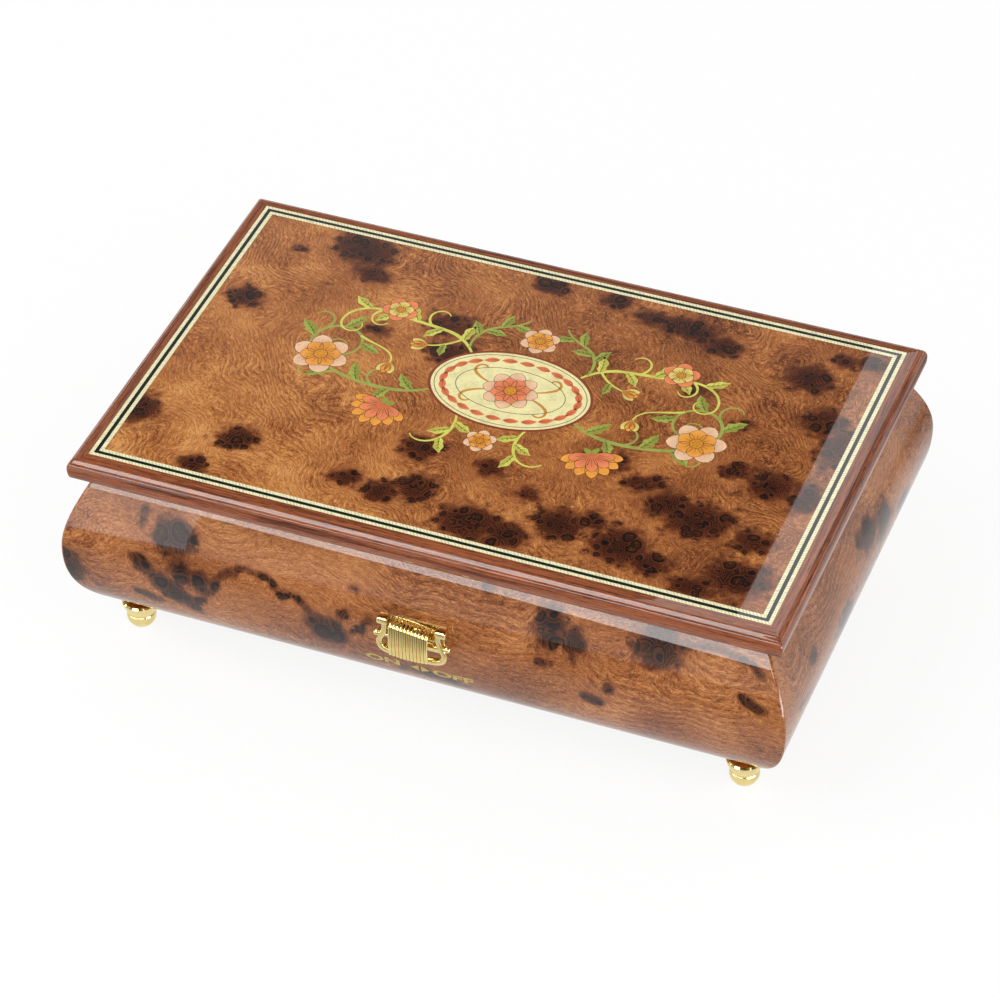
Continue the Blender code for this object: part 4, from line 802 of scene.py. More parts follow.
# Dark places of the lid: (x, y, reach in x, reach in y, turn, strength)
LID_SPOTS = (
    (-127, 27, 7, 6, 0, 1), (-92, 75, 13, 9, -0.4, 1), (-82, 60, 8, 5, -0.2, 0.9),
    (-137, -55, 7, 9, 0.2, 1), (-102, -80, 6, 5, 0, 0.9), (-92, -59, 8, 7, 0.2, 0.95),
    (-118, 66, 5, 3, 0, 0.5), (-41, -66, 6, 5, 0, 0.8), (-26, -69, 7, 6, 0, 0.95),
    (-13, -62, 7, 7, 0, 0.9), (14, -74, 12, 9, 0.2, 1), (30, -76, 8, 8, 0, 0.95),
    (48, -63, 10, 8, 0, 1), (60, -56, 6, 6, 0, 0.7), (74, -66, 11, 9, -0.3, 1),
    (88, -72, 8, 6, 0, 0.85), (98, -41, 13, 9, 0.2, 1), (84, -36, 8, 7, 0, 0.9),
    (70, -28, 8, 5, 0.3, 0.8), (124, -68, 12, 9, 0, 1), (108, -79, 8, 5, 0, 0.9),
    (122, -46, 8, 6, 0, 0.8), (118, -12, 9, 7, 0.4, 0.9), (134, -14, 6, 9, 0, 0.9),
    (102, -8, 8, 5, 0.3, 0.7), (136, 20, 7, 12, 0, 0.95), (126, 34, 8, 8, 0, 0.8),
    (112, 58, 8, 8, 0, 1), (133, 76, 6, 4, 0, 1), (122, 74, 5, 4, 0, 0.7),
    (55, 72, 13, 6, -0.1, 1), (38, 74, 8, 5, 0, 0.8), (72, 66, 8, 6, 0, 0.85),
    (21, 80, 6, 5, 0, 0.9), (-9, 79, 7, 5, 0, 1), (-40, 40, 10, 7, 0, 0.7),
    (-66, 26, 7, 4, 0.3, 0.5), (-32, 22, 9, 8, 0.3, 0.8), (10, -40, 6, 6, 0, 0.7),
    (-20, -38, 8, 7, 0, 0.8), (30, -50, 6, 5, 0, 0.7), (52, -20, 10, 6, 0, 0.6),
    (70, 36, 6, 5, 0, 0.5), (96, 20, 8, 4, 0.4, 0.4),
)

# Inlaid lines: piece, outer and inner offset, material, solid and slot
LINES = (("cream_line_outer", 0.0, -1.55, CREAM_LINE, "lid_outer_line", "pale_line"),
         ("ebony_line_ring", -1.55, -3.15, BLACK_LINE, "lid_black_line", "black_line"),
         ("cream_line_inner", -3.15, -4.8, CREAM_LINE, "lid_inner_line", "pale_line"))
LINE_DEPTH = 0.9
VENEER_DEPTH = 0.6


def make_moulding():
    nose = LID_TOP - 5.0
    shoulder = arc((3.3, nose), (3.8, 4.5), 81, 0, 14)
    cheek = arc((6.2, nose), (0.9, LID_LOW - nose), 0, 84, 10)[1:]
    profile = ([(0.0, LID_TOP), (2.2, LID_TOP - 0.3)] + shoulder + cheek
               + [(6.1, LID_LOW), (3.0, LID_LOW), (0.0, LID_LOW)])
    moulding = run_round("lid_moulding", profile, [ROSEWOOD], rounding=0.8, columns=(30, 20),
                         corner_steps=5)
    seat_top, radius = 90.05, 2.75
    for x in (-HINGE_X, HINGE_X):
        leaf_seat = block(x - HINGE_HALF, x + HINGE_HALF, HINGE_FRONT, HINGE_Y, 87.0, seat_top)
        knuckle = [(0, -HINGE_HALF), (radius, -HINGE_HALF), (radius, HINGE_HALF), (0, HINGE_HALF)]
        knuckle_seat = lathe("cutter", knuckle, (x, HINGE_Y, HINGE_Z), BRASS, sides=32, axis="X")
        joined(moulding, leaf_seat, knuckle_seat, operation="DIFFERENCE")
    smooth(moulding, 32)
    settle(moulding, "lid", "rosewood", "lid_frame_front", "lid_frame_right", "lid_frame_back",
           "lid_frame_left")


def make_lines():
    for name, outer, inner, material, node, slot in LINES:
        low = LID_TOP - LINE_DEPTH
        profile = [(inner, LID_TOP), (outer, LID_TOP), (outer, low), (inner, low)]
        ring = run_round(name, profile, [material], rounding=0.05, columns=(24, 16),
                         corner_steps=1)
        settle(ring, "lid", slot, node)


def make_veneer():
    """The burl sheet inside the lines, fine enough for its knots."""
    columns, rows = 140, 86
    half_x, half_y = (half + LINES[-1][2] for half in (HALF_X, HALF_Y))
    points = [(half_x * (2 * column / columns - 1), half_y * (2 * row / rows - 1), LID_TOP)
              for row in range(rows + 1) for column in range(columns + 1)]
    stains = [stain_at(x, y, LID_SPOTS) for x, y, z in points] + [0.0] * 4
    faces, sides = sheet_faces(rows, columns)
    top = len(points)
    points += [(*points[side[0]][:2], LID_TOP - VENEER_DEPTH) for side in sides]
    for index, side in enumerate(sides):
        faces.append((top + (index + 1) % 4, *reversed(side), top + index))
    faces.append((top + 3, top + 2, top + 1, top))
    veneer = mesh_piece("lid_burl_veneer", points, faces, [BURL_LID])
    lay_flat_veneer(veneer, points, faces, stains, "knots")
    settle(veneer, "lid", "burl_veneer", "lid_burl_panel")


# Feet

def make_feet():
    ball_z, ball_radius, waist_rise = 5.9, 6.25, 1.3
    low, high = (math.degrees(math.asin(z / ball_radius)) for z in (-ball_z, waist_rise))
    ball = arc((0, ball_z), (ball_radius, ball_radius), low, high, 26)
    profile = [(0.0, 0.0), (1.6, 0.0)] + [(max(r, 0.0), z) for r, z in ball]
    profile += bezier((5.95, 7.4), (5.75, 7.65), (5.75, 7.9), (6.0, 8.15), 6)
    profile += bezier((6.15, 8.3), (6.6, 9.6), (7.3, 11.0), (7.75, 12.5), 12)
    profile += [(7.8, 12.9), (7.65, 13.4), (7.0, 14.0), (2.0, 14.0), (0.0, 14.0)]
    for depth, y in (("front", -FOOT_Y), ("rear", FOOT_Y)):
        for side, x in (("left", -FOOT_X), ("right", FOOT_X)):
            foot = lathe(f"turned_foot_{depth}_{side}", profile, (x, y, 0), BRASS, sides=72)
            settle(foot, "case", "brass", f"foot_{depth}_{side}")


# Lever

def ribbon(name, path, width, depth, y, rounding, material):
    """A bar of rounded rectangular section that follows a path of (x, z) points."""
    section = []
    for quarter, (right, back) in enumerate(((1, 1), (-1, 1), (-1, -1), (1, -1))):
        centre = (right * (width / 2 - rounding), back * (depth / 2 - rounding))
        section += arc(centre, (rounding, rounding), 90 * quarter, 90 * quarter + 90, 4)
    points = []
    for index, (x, z) in enumerate(path):
        ahead = path[min(index + 1, len(path) - 1)]
        behind = path[max(index - 1, 0)]
        size = math.dist(ahead, behind)
        normal = ((behind[1] - ahead[1]) / size, (ahead[0] - behind[0]) / size)
        for across, through in section:
            points.append((x + normal[0] * across, y + through, z + normal[1] * across))
    count = len(section)
    faces = [tuple(range(count)), *tube_faces(len(path), count),
             tuple(range(len(points) - count, len(points)))]
    return tidied(mesh_piece(name, points, faces, [material]))


def make_lyre():
    right = [(0, 49.6), (8.3, 49.7), (12.6, 51.0), (13.9, 54.2), (12.5, 58.0), (11.5, 61.0),
             (11.3, 64.2)]
    path = [(-x, z) for x, z in right[:0:-1]] + right
    curve = [(LEVER_X + x, z) for x, z in smooth_path(path, 8)]
    harp = ribbon("lever_lyre", curve, width=2.4, depth=2.6, y=LEVER_Y, rounding=0.6,
                  material=BRASS)
    for side in (-1, 1):
        ends = sorted((LEVER_X + side * 9.9, LEVER_X + side * 14.7))
        joined(harp, block(*ends, LEVER_Y - 1.4, LEVER_Y + 3.0, 63.6, 66.8, rounding=0.75,
                           segments=4))
    settle(coated(harp, BRASS, 40), "lever", "brass", "lyre_frame")


def make_crossbar():
    """The bar with its ball ends, and the stem that runs back into the case."""
    reach, radius, ball_radius, stem_half = 15.0, 1.0, 1.5, 1.75
    ball = [(max(0.0, r), h) for r, h in arc((0, 0), (ball_radius, ball_radius), -90, 90, 14)]
    bar = [(0.0, -reach - ball_radius)]
    bar += [(r, h - reach) for r, h in ball[1:] if h < 0.9]
    bar += [(radius, 1.1 - reach), (radius, reach - 1.1)]
    bar += [(r, h + reach) for r, h in ball[1:-1] if h > -0.9]
    bar += [(0.0, reach + ball_radius)]
    cross = lathe("lever_crossbar", bar, (LEVER_X, LEVER_Y, CROSSBAR_Z), BRASS, sides=32, axis="X")
    stem_end = -HALF_Y + WALL_INSET + 1.9
    joined(cross, block(LEVER_X - stem_half, LEVER_X + stem_half, LEVER_Y, stem_end,
                        CROSSBAR_Z - 1.6, CROSSBAR_Z + 1.6, rounding=0.25, segments=2))
    settle(coated(cross, BRASS, 40), "lever", "brass", "lyre_crossbar")


STRINGS = 11
STRING_GAP = 1.52
STRING_FRONT = LEVER_Y - 3.0


def string_path(x, bottom, top):
    """Up the bulging front, over the bend and the ladder, and down a little behind it."""
    front, bend, hook, bulge, steps = STRING_FRONT, 1.9, 1.0, 0.55, 10
    ladder_end = front + 5.4
    path = []
    for step in range(steps + 1):
        share = step / steps
        path.append((x, front - bulge * math.sin(math.pi * share),
                     bottom + (top - bend - bottom) * share))
    path += [(x, y, z) for y, z in arc((front + bend, top - bend), (bend, bend), 165, 90, 5)]
    path += [(x, front + 2.6, top), (x, ladder_end, top)]
    path += [(x, y, z) for y, z in arc((ladder_end, top - hook), (hook, hook), 60, 0, 2)]
    return path + [(x, ladder_end + hook, top - 3.0)]


def make_strings():
    middle = STRINGS // 2
    wires = []
    for index in range(STRINGS):
        x = LEVER_X - 0.4 + (index - middle) * STRING_GAP
        bow = 1 - (abs(index - middle) / 5.6) ** 2
        path = string_path(x, 51.1 - 0.7 * bow, 66.3 - 0.2 * index)
        # Full to the bend, then thinner, so that the ladder shows its gaps
        thickness = [1.0] * 14 + [0.9, 0.75, 0.62, 0.5] + [0.46] * (len(path) - 18)
        wires.append(wire("string", path, 0.77, BRASS, resolution=5, thickness=thickness))
    low = [(LEVER_X + x, STRING_FRONT + 0.6, 53.4) for x in (-7.6, 7.0)]
    high = [(LEVER_X + x, STRING_FRONT + y, z)
            for x, y, z in ((-8.0, 5.5, 66.2), (-0.4, 5.7, 65.6), (7.2, 5.5, 64.2))]
    ties = [wire("tie", low, 0.6, BRASS), wire("tie", high, 0.16, BRASS)]
    settle(merged("lever_strings", wires + ties, BRASS), "lever", "brass", "lyre_strings")


def make_slot_plate():
    """A plate with the slot, bent to the swell of the front."""
    rows, columns = 18, 16
    left, width = LEVER_X - 11.6, 23.6
    high_run = run_at(62.4)
    tall = run_at(50.0) - high_run
    back, face = 0.15, 0.75
    points = [on_front(left + width * column / columns, high_run + tall * row / rows, level)
              for level in (back, face) for row in range(rows + 1) for column in range(columns + 1)]
    layer = len(points) // 2
    faces = []
    quads, sides = sheet_faces(rows, columns)
    for first, second, third, fourth in quads:
        faces.append((first, fourth, third, second))
        faces.append(tuple(layer + corner for corner in (second, third, fourth, first)))
    edge = [corner for side in sides for corner in side[:-1]]
    for here, there in zip(edge, edge[1:] + edge[:1]):
        faces.append((here, there, layer + there, layer + here))
    plate = tidied(mesh_piece("lever_plate", points, faces, [BRASS]), 30)
    joined(plate, lever_slot(LEVER_Y, -HALF_Y), operation="DIFFERENCE")
    settle(smooth(plate, 30), "case", "brass", "slot_plate")


# Lettering that follows the swell of the front

WORDS = (("ON", -21.6, -7.0), ("OFF", 7.2, 24.8))
LETTER_Z = 36.0
LETTER_HEIGHT = 4.2
ARROW_X = 1.7
LONGEST_EDGE = 0.7
LETTER_LOW = -0.01
LETTER_TOP = 0.04


def word_mesh(text, x_low, x_high):
    """A word laid flat between two places along the front."""
    curve = bpy.data.curves.new("word", "FONT")
    curve.body = text
    curve.size = 1.0
    curve.offset = 0.035
    curve.resolution_u = 6
    mesh = from_curve(new_object("word", curve))
    for axis, low, high in ((0, x_low, x_high), (1, -LETTER_HEIGHT / 2, LETTER_HEIGHT / 2)):
        start = min(vert.co[axis] for vert in mesh.vertices)
        size = max(vert.co[axis] for vert in mesh.vertices) - start
        for vert in mesh.vertices:
            vert.co[axis] = low + (high - low) * (vert.co[axis] - start) / size
    return mesh


def make_lettering():
    builder = bmesh.new()
    for word in WORDS:
        builder.from_mesh(word_mesh(*word))
    for side in (-1, 1):
        arrow = [builder.verts.new((ARROW_X + side * x, y, 0))
                 for x, y in ((0.5, -2.1), (0.5, 2.1), (4.4, 0))]
        builder.faces.new(arrow)
    bmesh.ops.triangulate(builder, faces=builder.faces)
    for _ in range(3):
        long_edges = [edge for edge in builder.edges if edge.calc_length() > LONGEST_EDGE]
        bmesh.ops.subdivide_edges(builder, edges=long_edges, cuts=1)
        bmesh.ops.triangulate(builder, faces=builder.faces)
    grown = bmesh.ops.extrude_face_region(builder, geom=builder.faces[:])["geom"]
    raised = {item for item in grown if isinstance(item, bmesh.types.BMVert)}
    middle = run_at(LETTER_Z)
    for vert in builder.verts:
        level = LETTER_TOP if vert in raised else LETTER_LOW
        vert.co = metres(*on_front(vert.co.x, middle - vert.co.y, level))
    turn_outward(builder)
    mesh = into_mesh(builder, bpy.data.meshes.new("gold_on_off"))
    mesh.materials.append(GOLD_LEAF)
    settle(new_object("gold_on_off", mesh), "case", "brass")


# Finishes of the solids that stay

KEPT = {
    INNER_WOOD: "base_board partition_left partition_right lid_board",
    FELT: "well_felt_left well_felt_right lid_lining",
    GLASS: "glass_cover",
    BRASS: "hinge_left_case_leaf hinge_right_case_leaf hinge_left_lid_leaf hinge_right_lid_leaf "
           "winding_key",
    MOVEMENT_BRASS: "bedplate bracket_left bracket_right governor_plate comb_base barrel_cock "
                    "governor_frame cylinder cylinder_wheel spring_barrel barrel_cover worm_wheel",
    STEEL: "comb comb_screw_left comb_screw_middle comb_screw_right cylinder_arbor "
           "governor_arbor fan_worm mainspring winding_arbor stop_slide hinge_left_pin "
           "hinge_right_pin",
}


def finish_kept():
    for material, names in KEPT.items():
        for name in names.split():
            slots = nodes[name].data.materials
            for index in range(len(slots)):
                slots[index] = material


# Marquetry: scrolls with leaves and flowers on both sides of an oval

OVAL_Y = 8.0
ENGRAVED = "engraving"
VENEERS = {"vine_olive": (164, 174, 86), "vine_lime": (222, 222, 104), "leaf_green": (168, 182, 82),
           "ribbon_tan": (214, 150, 64), "oval_rim": (150, 74, 46), "oval_cream": (250, 240, 178),
           "oval_coral": (248, 136, 92), "petal_peach": (254, 208, 168), "petal_orange": (252, 172, 74),
           "petal_coral": (252, 148, 100), "bud_yellow": (246, 222, 122), "heart_gold": (232, 160, 54),
           ENGRAVED: (92, 50, 30)}
VENEER_ROWS = {name: [] for name in VENEERS}

# Layers of the flat shapes, so that what lies over another shape also hides its engraving
VINE, LEAF, PETAL, INNER_PETAL, HEART = 0, 2.5, 6, 9, 12
ENGRAVING_LIFT = 1.6
LAYER_STEP = 0.004
LOWEST_LAYER = 0.006
INLAY_DEPTH = 0.2

BLADE_STEPS = 16


def strip(veneer, layer, first, second, shades):
    """A flat shape between two rows of points, with a scorched tone for each pair."""
    VENEER_ROWS[veneer].append((layer, first, second, shades))


def disc(veneer, layer, centre, radii, shade=0.0, steps=28):
    upper = arc(centre, radii, 180, 0, steps)
    lower = [(x, 2 * centre[1] - y) for x, y in upper]
    strip(veneer, layer, upper, lower, [shade] * len(upper))


def stroke(veneer, layer, path, widths):
    """A line along a path whose width runs through the given values."""
    first, second = [], []
    last = len(path) - 1
    for index, (x, y) in enumerate(path):
        ahead, behind = path[min(index + 1, last)], path[max(index - 1, 0)]
        size = math.dist(ahead, behind)
        place = index / last * (len(widths) - 1)
        low = min(int(place), len(widths) - 2)
        half = (widths[low] + (widths[low + 1] - widths[low]) * (place - low)) / 2 / size
        side = ((behind[1] - ahead[1]) * half, (ahead[0] - behind[0]) * half)
        first.append((x + side[0], y + side[1]))
        second.append((x - side[0], y - side[1]))
    strip(veneer, layer, first, second, [0.0] * len(path))


def oval_line(layer, centre, radii, width, steps=60):
    stroke(ENGRAVED, layer, arc(centre, radii, 0, 360, steps), (width, width))


def curl(start, heading, *arcs):
    """A path of (length, first turn, last turn) arcs, whose turns are degrees for each mm."""
    x, y = start
    angle = math.radians(heading)
    path = [(x, y)]
    for length, first, last in arcs:
        count = max(2, round(length / 0.9))
        step = length / count
        for index in range(count):
            angle += math.radians(first + (last - first) * (index + 0.5) / count) * step
            x += step * math.cos(angle)
            y += step * math.sin(angle)
            path.append((x, y))
    return path


def along_path(path, share):
    """The point of a path at a share of its length, and its heading in degrees."""
    index = min(int(share * (len(path) - 1)), len(path) - 2)
    here, there = path[index], path[index + 1]
    return here, math.degrees(math.atan2(there[1] - here[1], there[0] - here[0]))


def blade(base, heading, length, width, fullness, bluntness, lobes=0, bend=0.0):
    """Left edge, middle and right edge of a leaf or petal."""
    left, middle, right = [], [], []
    angle = math.radians(heading)
    x, y = base
    for step in range(BLADE_STEPS + 1):
        t = step / BLADE_STEPS
        half = width / 2 * max(0.0, math.sin(math.pi * t ** fullness)) ** bluntness
        half *= 1 + 0.2 * math.sin(2 * math.pi * lobes * t)
        side = (-math.sin(angle) * half, math.cos(angle) * half)
        left.append((x + side[0], y + side[1]))
        middle.append((x, y))
        right.append((x - side[0], y - side[1]))
        angle += math.radians(bend) / BLADE_STEPS
        x += length / BLADE_STEPS * math.cos(angle)
        y += length / BLADE_STEPS * math.sin(angle)
    return left, middle, right


def fading(shade, power=1.0):
    """Shades along a blade, from its base to nothing at its tip."""
    return [shade * (1 - step / BLADE_STEPS) ** power for step in range(BLADE_STEPS + 1)]


def mirrored(side, place, heading):
    """A place and a heading of the right half, for either side."""
    return (side * place[0], place[1]), heading if side > 0 else 180 - heading


def petal(veneer, layer, base, heading, length, width, fullness=1.5, bluntness=0.62, first=4):
    left, middle, right = blade(base, heading, length, width, fullness, bluntness)
    strip(veneer, layer, left, right, fading(0.9, 1.2))
    for edge in (left, right):
        stroke(ENGRAVED, layer + ENGRAVING_LIFT, edge[first:], (0.15, 0.25, 0.15))
    stroke(ENGRAVED, layer + ENGRAVING_LIFT, middle[5:12], (0.2, 0.1))


def leaf(side, veneer, base, heading, length, width, bend, lobes):
    base, heading = mirrored(side, base, heading)
    left, middle, right = blade(base, heading, length, width, 0.8, 0.9, lobes, side * bend)
    strip(veneer, LEAF, left, middle, [0.0] * len(left))
    strip(veneer, LEAF, middle, right, [0.5] * len(left))
    stroke(ENGRAVED, LEAF + ENGRAVING_LIFT, middle[1:-2], (0.34, 0.12))
    for index in (4, 7, 10):
        for edge in (left, right):
            tip = tuple(m + 0.62 * (e - m) for m, e in zip(middle[index + 2], edge[index + 2]))
            stroke(ENGRAVED, LEAF + ENGRAVING_LIFT, [middle[index], tip], (0.2, 0.1))


def flower(centre, petals, length, width, turn, heart, outer, inner):
    for veneer, layer, reach, spread, shift in ((outer, PETAL, 1.0, 1.0, 0.0),
                                                (inner, INNER_PETAL, 0.68, 0.8, 0.5)):
        for index in range(petals):
            lift = 1.4 if petals % 2 and index == petals - 1 else 0.7 * (index % 2)
            petal(veneer, layer + lift, centre,
                  turn + 360 * (index + shift) / petals, length * reach, width * spread)
    disc("heart_gold", HEART, centre, (heart, heart), 0.2)
    oval_line(HEART + 1, centre, (heart, heart), 0.24, 18)
    for spot in arc(centre, (0.55 * heart, 0.55 * heart), 0, 300, 5):
        disc(ENGRAVED, HEART + 1, spot, (0.22, 0.22), steps=5)


def fan_flower(side, centre, heading, length, spread):
    centre, heading = mirrored(side, centre, heading)
    for turn in (-38, 38):
        left, middle, right = blade(centre, heading + 180 + turn, 5.0, 2.6, 0.9, 0.9)
        strip("leaf_green", LEAF, left, right, [0.4] * len(left))
    for veneer, layer, reach, count, width in (("petal_orange", PETAL, 1.0, 7, 5.4),
                                               ("petal_coral", INNER_PETAL, 0.74, 5, 5.0)):
        for index in range(count):
            share = index / (count - 1) - 0.5
            petal(veneer, layer + 0.7 * (index % 2), centre, heading + spread * share,
                  length * reach * (1 - 0.25 * abs(share)), width, 1.6, 0.6)


def bud(side, centre, heading):
    centre, heading = mirrored(side, centre, heading)
    for index, (turn, veneer) in enumerate(((-24, "bud_yellow"), (24, "bud_yellow"),
                                            (0, "petal_orange"))):
        petal(veneer, PETAL + 0.7 * index, centre, heading + turn, 7.6, 4.2, 1.2, 0.8, 2)


def leafy_vine(side, veneer, start, heading, arcs, widths, leaves=(), layer=VINE):
    """A scroll with its leaves; gives back its path as drawn on the right side."""
    path = curl(start, heading, *arcs)
    stroke(veneer, layer, [(side * x, y) for x, y in path], widths)
    for kind, share, turn, length, width, bend, lobes in leaves:
        base, here = along_path(path, share)
        leaf(side, kind, base, here + turn, length, width, bend, lobes)
    return path


# Leaves of the two long scrolls: (share of the scroll, turn, length, width, bend)
LOW_LEAVES = ((0.10, 52, 12, 4.6, 30), (0.17, -48, 11, 4.4, -30), (0.27, 46, 12, 4.8, 25),
              (0.36, -46, 12, 4.8, -25), (0.46, 40, 10, 4.2, 25), (0.55, -44, 12, 5.0, -20),
              (0.66, -48, 11, 4.6, -20), (0.76, -50, 10, 4.4, -20))
HIGH_LEAVES = ((0.16, 50, 11, 4.2, 25), (0.28, -46, 10, 4.0, -25), (0.40, 44, 12, 4.6, 20),
               (0.52, -50, 10, 4.2, -20), (0.63, 40, 11, 4.4, 20))


def bent_leaves(kind, length, width, *places):
    """Leaves of one size at (share, turn) places, bent the way they turn."""
    return [(kind, share, turn, length, width, turn * 0.4, 2) for share, turn in places]


def branch(side, veneer, stem, share, turn, arcs, widths, leaves=(), layer=VINE + 1.5):
    """A scroll that leaves another one at a share of its length."""
    base, heading = along_path(stem, share)
    return leafy_vine(side, veneer, base, heading + turn, arcs, widths, leaves, layer)


def lay_side(side):
    """The scrolls, leaves and flowers on one side of the oval."""
    green, lime, olive = "leaf_green", "vine_lime", "vine_olive"
    main = leafy_vine(side, olive, (27.0, 2.0), -52,
                      ((34, 2.4, 1.0), (34, 0.4, 2.6), (50, 4.6, 6.6), (22, 8.5, 15.0)),
                      (0.9, 2.0, 1.7, 1.5, 1.3, 1.0, 0.5), [(green, *row, 3) for row in LOW_LEAVES])
    upper = leafy_vine(side, lime, (21.0, 21.0), 62,
                       ((24, -1.0, -3.4), (26, -0.6, 0.8), (26, -2.4, -6.0), (18, -9.0, -17.0)),
                       (0.8, 1.7, 1.6, 1.3, 1.0, 0.5), [(lime, *row, 2) for row in HIGH_LEAVES],
                       VINE + 0.5)
    for stem, veneer, share, turn, first, last in (
            (upper, lime, 0.34, 34, 5.0, 17.0), (upper, lime, 0.58, -30, -6.0, -18.0),
            (main, olive, 0.22, 20, 6.0, 16.0), (main, olive, 0.41, -24, -5.0, -17.0),
            (main, olive, 0.60, -16, -5.0, -16.0)):
        branch(side, veneer, stem, share, turn, ((18, first, last),), (1.2, 0.9, 0.5),
               layer=VINE + 1.0)
    twig = branch(side, lime, main, 0.72, -20, ((14, -3.0, 2.0), (10, 5.0, 9.0)), (1.2, 0.9, 0.6))
    bud(side, *along_path(twig, 0.98))
    sprig = branch(side, lime, upper, 0.17, -88, ((16, 2.0, 3.4),), (1.2, 1.0, 0.7),
                   [(green, 0.5, -50, 8, 3.4, -20, 2)], VINE + 1.0)
    bud(side, *along_path(sprig, 0.99))
    branch(side, olive, upper, 0.10, 28, ((20, 3.0, 4.6), (14, 1.0, -6.0)), (0.9, 1.5, 1.2, 0.8),
           bent_leaves(green, 9.5, 4.0, (0.30, -44), (0.42, 44), (0.62, -40), (0.78, 40)))
    leafy_vine(side, lime, (16.0, -11.5), -118, ((18, 2.4, 3.6), (16, 4.0, 11.0)),
               (0.8, 1.4, 1.1, 0.6), bent_leaves(lime, 10, 4.2, (0.22, -46), (0.36, 44), (0.56, -44)))
    flower((side * 82.0, 3.0), 6, 12.5, 8.6, 12 * side, 2.9, "petal_peach", "petal_orange")
    flower((side * 62.0, 42.0), 5, 8.0, 6.6, 20 * side, 1.9, "petal_coral", "bud_yellow")
    fan_flower(side, (45.0, -18.0), -70, 15.0, 150)


def lay_oval():
    """The oval with its wreath of blades, two pairs of ribbons and a flower."""
    middle = (0.0, OVAL_Y)
    disc("oval_rim", LEAF, middle, (35.0, 24.6), 0.2, 60)
    disc("oval_cream", LEAF + 1, middle, (33.8, 23.4), 0.0, 60)
    for radii in ((23.4, 13.6), (32.4, 22.0)):
        oval_line(LEAF + 2, middle, radii, 0.3)
    wreath_x, wreath_y, blades = 28.8, 18.6, 24
    for index in range(blades):
        a = 2 * math.pi * (index + 0.5) / blades
        base = (wreath_x * math.cos(a), OVAL_Y + wreath_y * math.sin(a))
        heading = math.degrees(math.atan2(wreath_y * math.cos(a), -wreath_x * math.sin(a)))
        left, vein, right = blade(base, heading, 6.8, 3.0, 0.9, 0.9, 0, 12)
        strip("oval_coral", LEAF + 2, left, right, fading(0.7))
        stroke(ENGRAVED, LEAF + 3, vein[2:-3], (0.2, 0.1))
    ribbon_path = curl((8.5, 1.8), 16, (10, 1.0, 4.0), (10, 10.0, 28.0))
    for side in (-1, 1):
        for turn in (-1, 1):
            stroke("ribbon_tan", LEAF + 2, [(side * x, OVAL_Y + turn * y) for x, y in ribbon_path],
                   (0.6, 1.4, 0.8))
    flower(middle, 8, 12.0, 7.2, 0, 2.7, "petal_peach", "petal_coral")


def lay_marquetry():
    for side in (-1, 1):
        lay_side(side)
    for y, size in ((42.5, 8.5), (-26.0, 7.0)):
        flower((0.0, y), 6, size, size * 0.74, 90, size * 0.24, "petal_peach", "petal_orange")
    lay_oval()


def inlay_faces(start, count):
    """The faces of a flat shape: its rows of points lie first on top, then again below."""
    under = 2 * count
    faces = []
    for first in range(start, start + count - 1):
        second = first + count
        faces += [(first, second, second + 1, first + 1),
                  (first + under + 1, second + under + 1, second + under, first + under),
                  (first + 1, first + under + 1, first + under, first),
                  (second, second + under, second + under + 1, second + 1)]
    for index, turn in ((0, 1), (count - 1, -1)):
        ends = [start + index + part * count for part in (0, 2, 3, 1)]
        faces.append(tuple(ends[::turn]))
    return faces


def make_marquetry():
    lay_marquetry()
    for veneer, rows in VENEER_ROWS.items():
        points, faces, stains = [], [], []
        for layer, first, second, shades in rows:
            faces += inlay_faces(len(points), len(first))
            for height in (LOWEST_LAYER + LAYER_STEP * layer, -INLAY_DEPTH):
                points += [(x, y, LID_TOP + height) for row in (first, second) for x, y in row]
                stains += shades * 2
        wood = dyed_veneer(f"dyed_{veneer}", VENEERS[veneer])
        piece = mesh_piece(f"marquetry_{veneer}", points, faces, [wood])
        lay_flat_veneer(piece, points, faces, stains, "scorch")
        reworked(piece.data, lambda builder: bmesh.ops.dissolve_degenerate(
            builder, dist=1e-8, edges=builder.edges), turn_outward)
        settle(piece, "lid", "marquetry", "lid_marquetry")

# Floor, light and camera

WHITE = (1, 1, 1, 1)


def make_floor():
    """White paper that keeps a faint shadow; polished parts see it darken away from the box."""
    g = Graph("floor_paper")
    grain = g.noise(g.place(), 0.4, 3.0)
    g.finish(g.ramp(grain, (0.3, (0.86, 0.86, 0.86, 1)), (0.7, (0.9, 0.9, 0.9, 1))), 0.9,
             Specular_IOR_Level=0.0)
    # Where the mirrored paper is dark, and how bright it is close to the box and in plain view
    x, y, _ = g.make("SeparateXYZ", {"Vector": g.vector("ABSOLUTE", g.place())}).outputs
    away = g.times(g.span(y, 118.0, 225.0), g.span(x, 320.0, 235.0))
    drop, close, direct, glow_share = 0.78, 0.92, 1.03, 0.86
    mirrored_level = g.times(away, -drop, close)
    plain, glossy = g.seen_plainly()
    level = g.times(g.math("SUBTRACT", direct, mirrored_level), plain, mirrored_level)
    glow = g.make("Emission", {"Color": WHITE, "Strength": level}).outputs[0]
    seen = g.times(g.math("MAXIMUM", plain, glossy), glow_share)
    g.cover(g.make("MixShader", {0: seen, 1: g.shader.outputs[0], 2: glow}).outputs[0])
    reach = 8000
    corners = [(x * reach, y * reach - SHIFT, 0) for x, y in ((-1, -1), (1, -1), (1, 1), (-1, 1))]
    mesh_piece("floor", corners, [(0, 1, 2, 3)], [g.material])


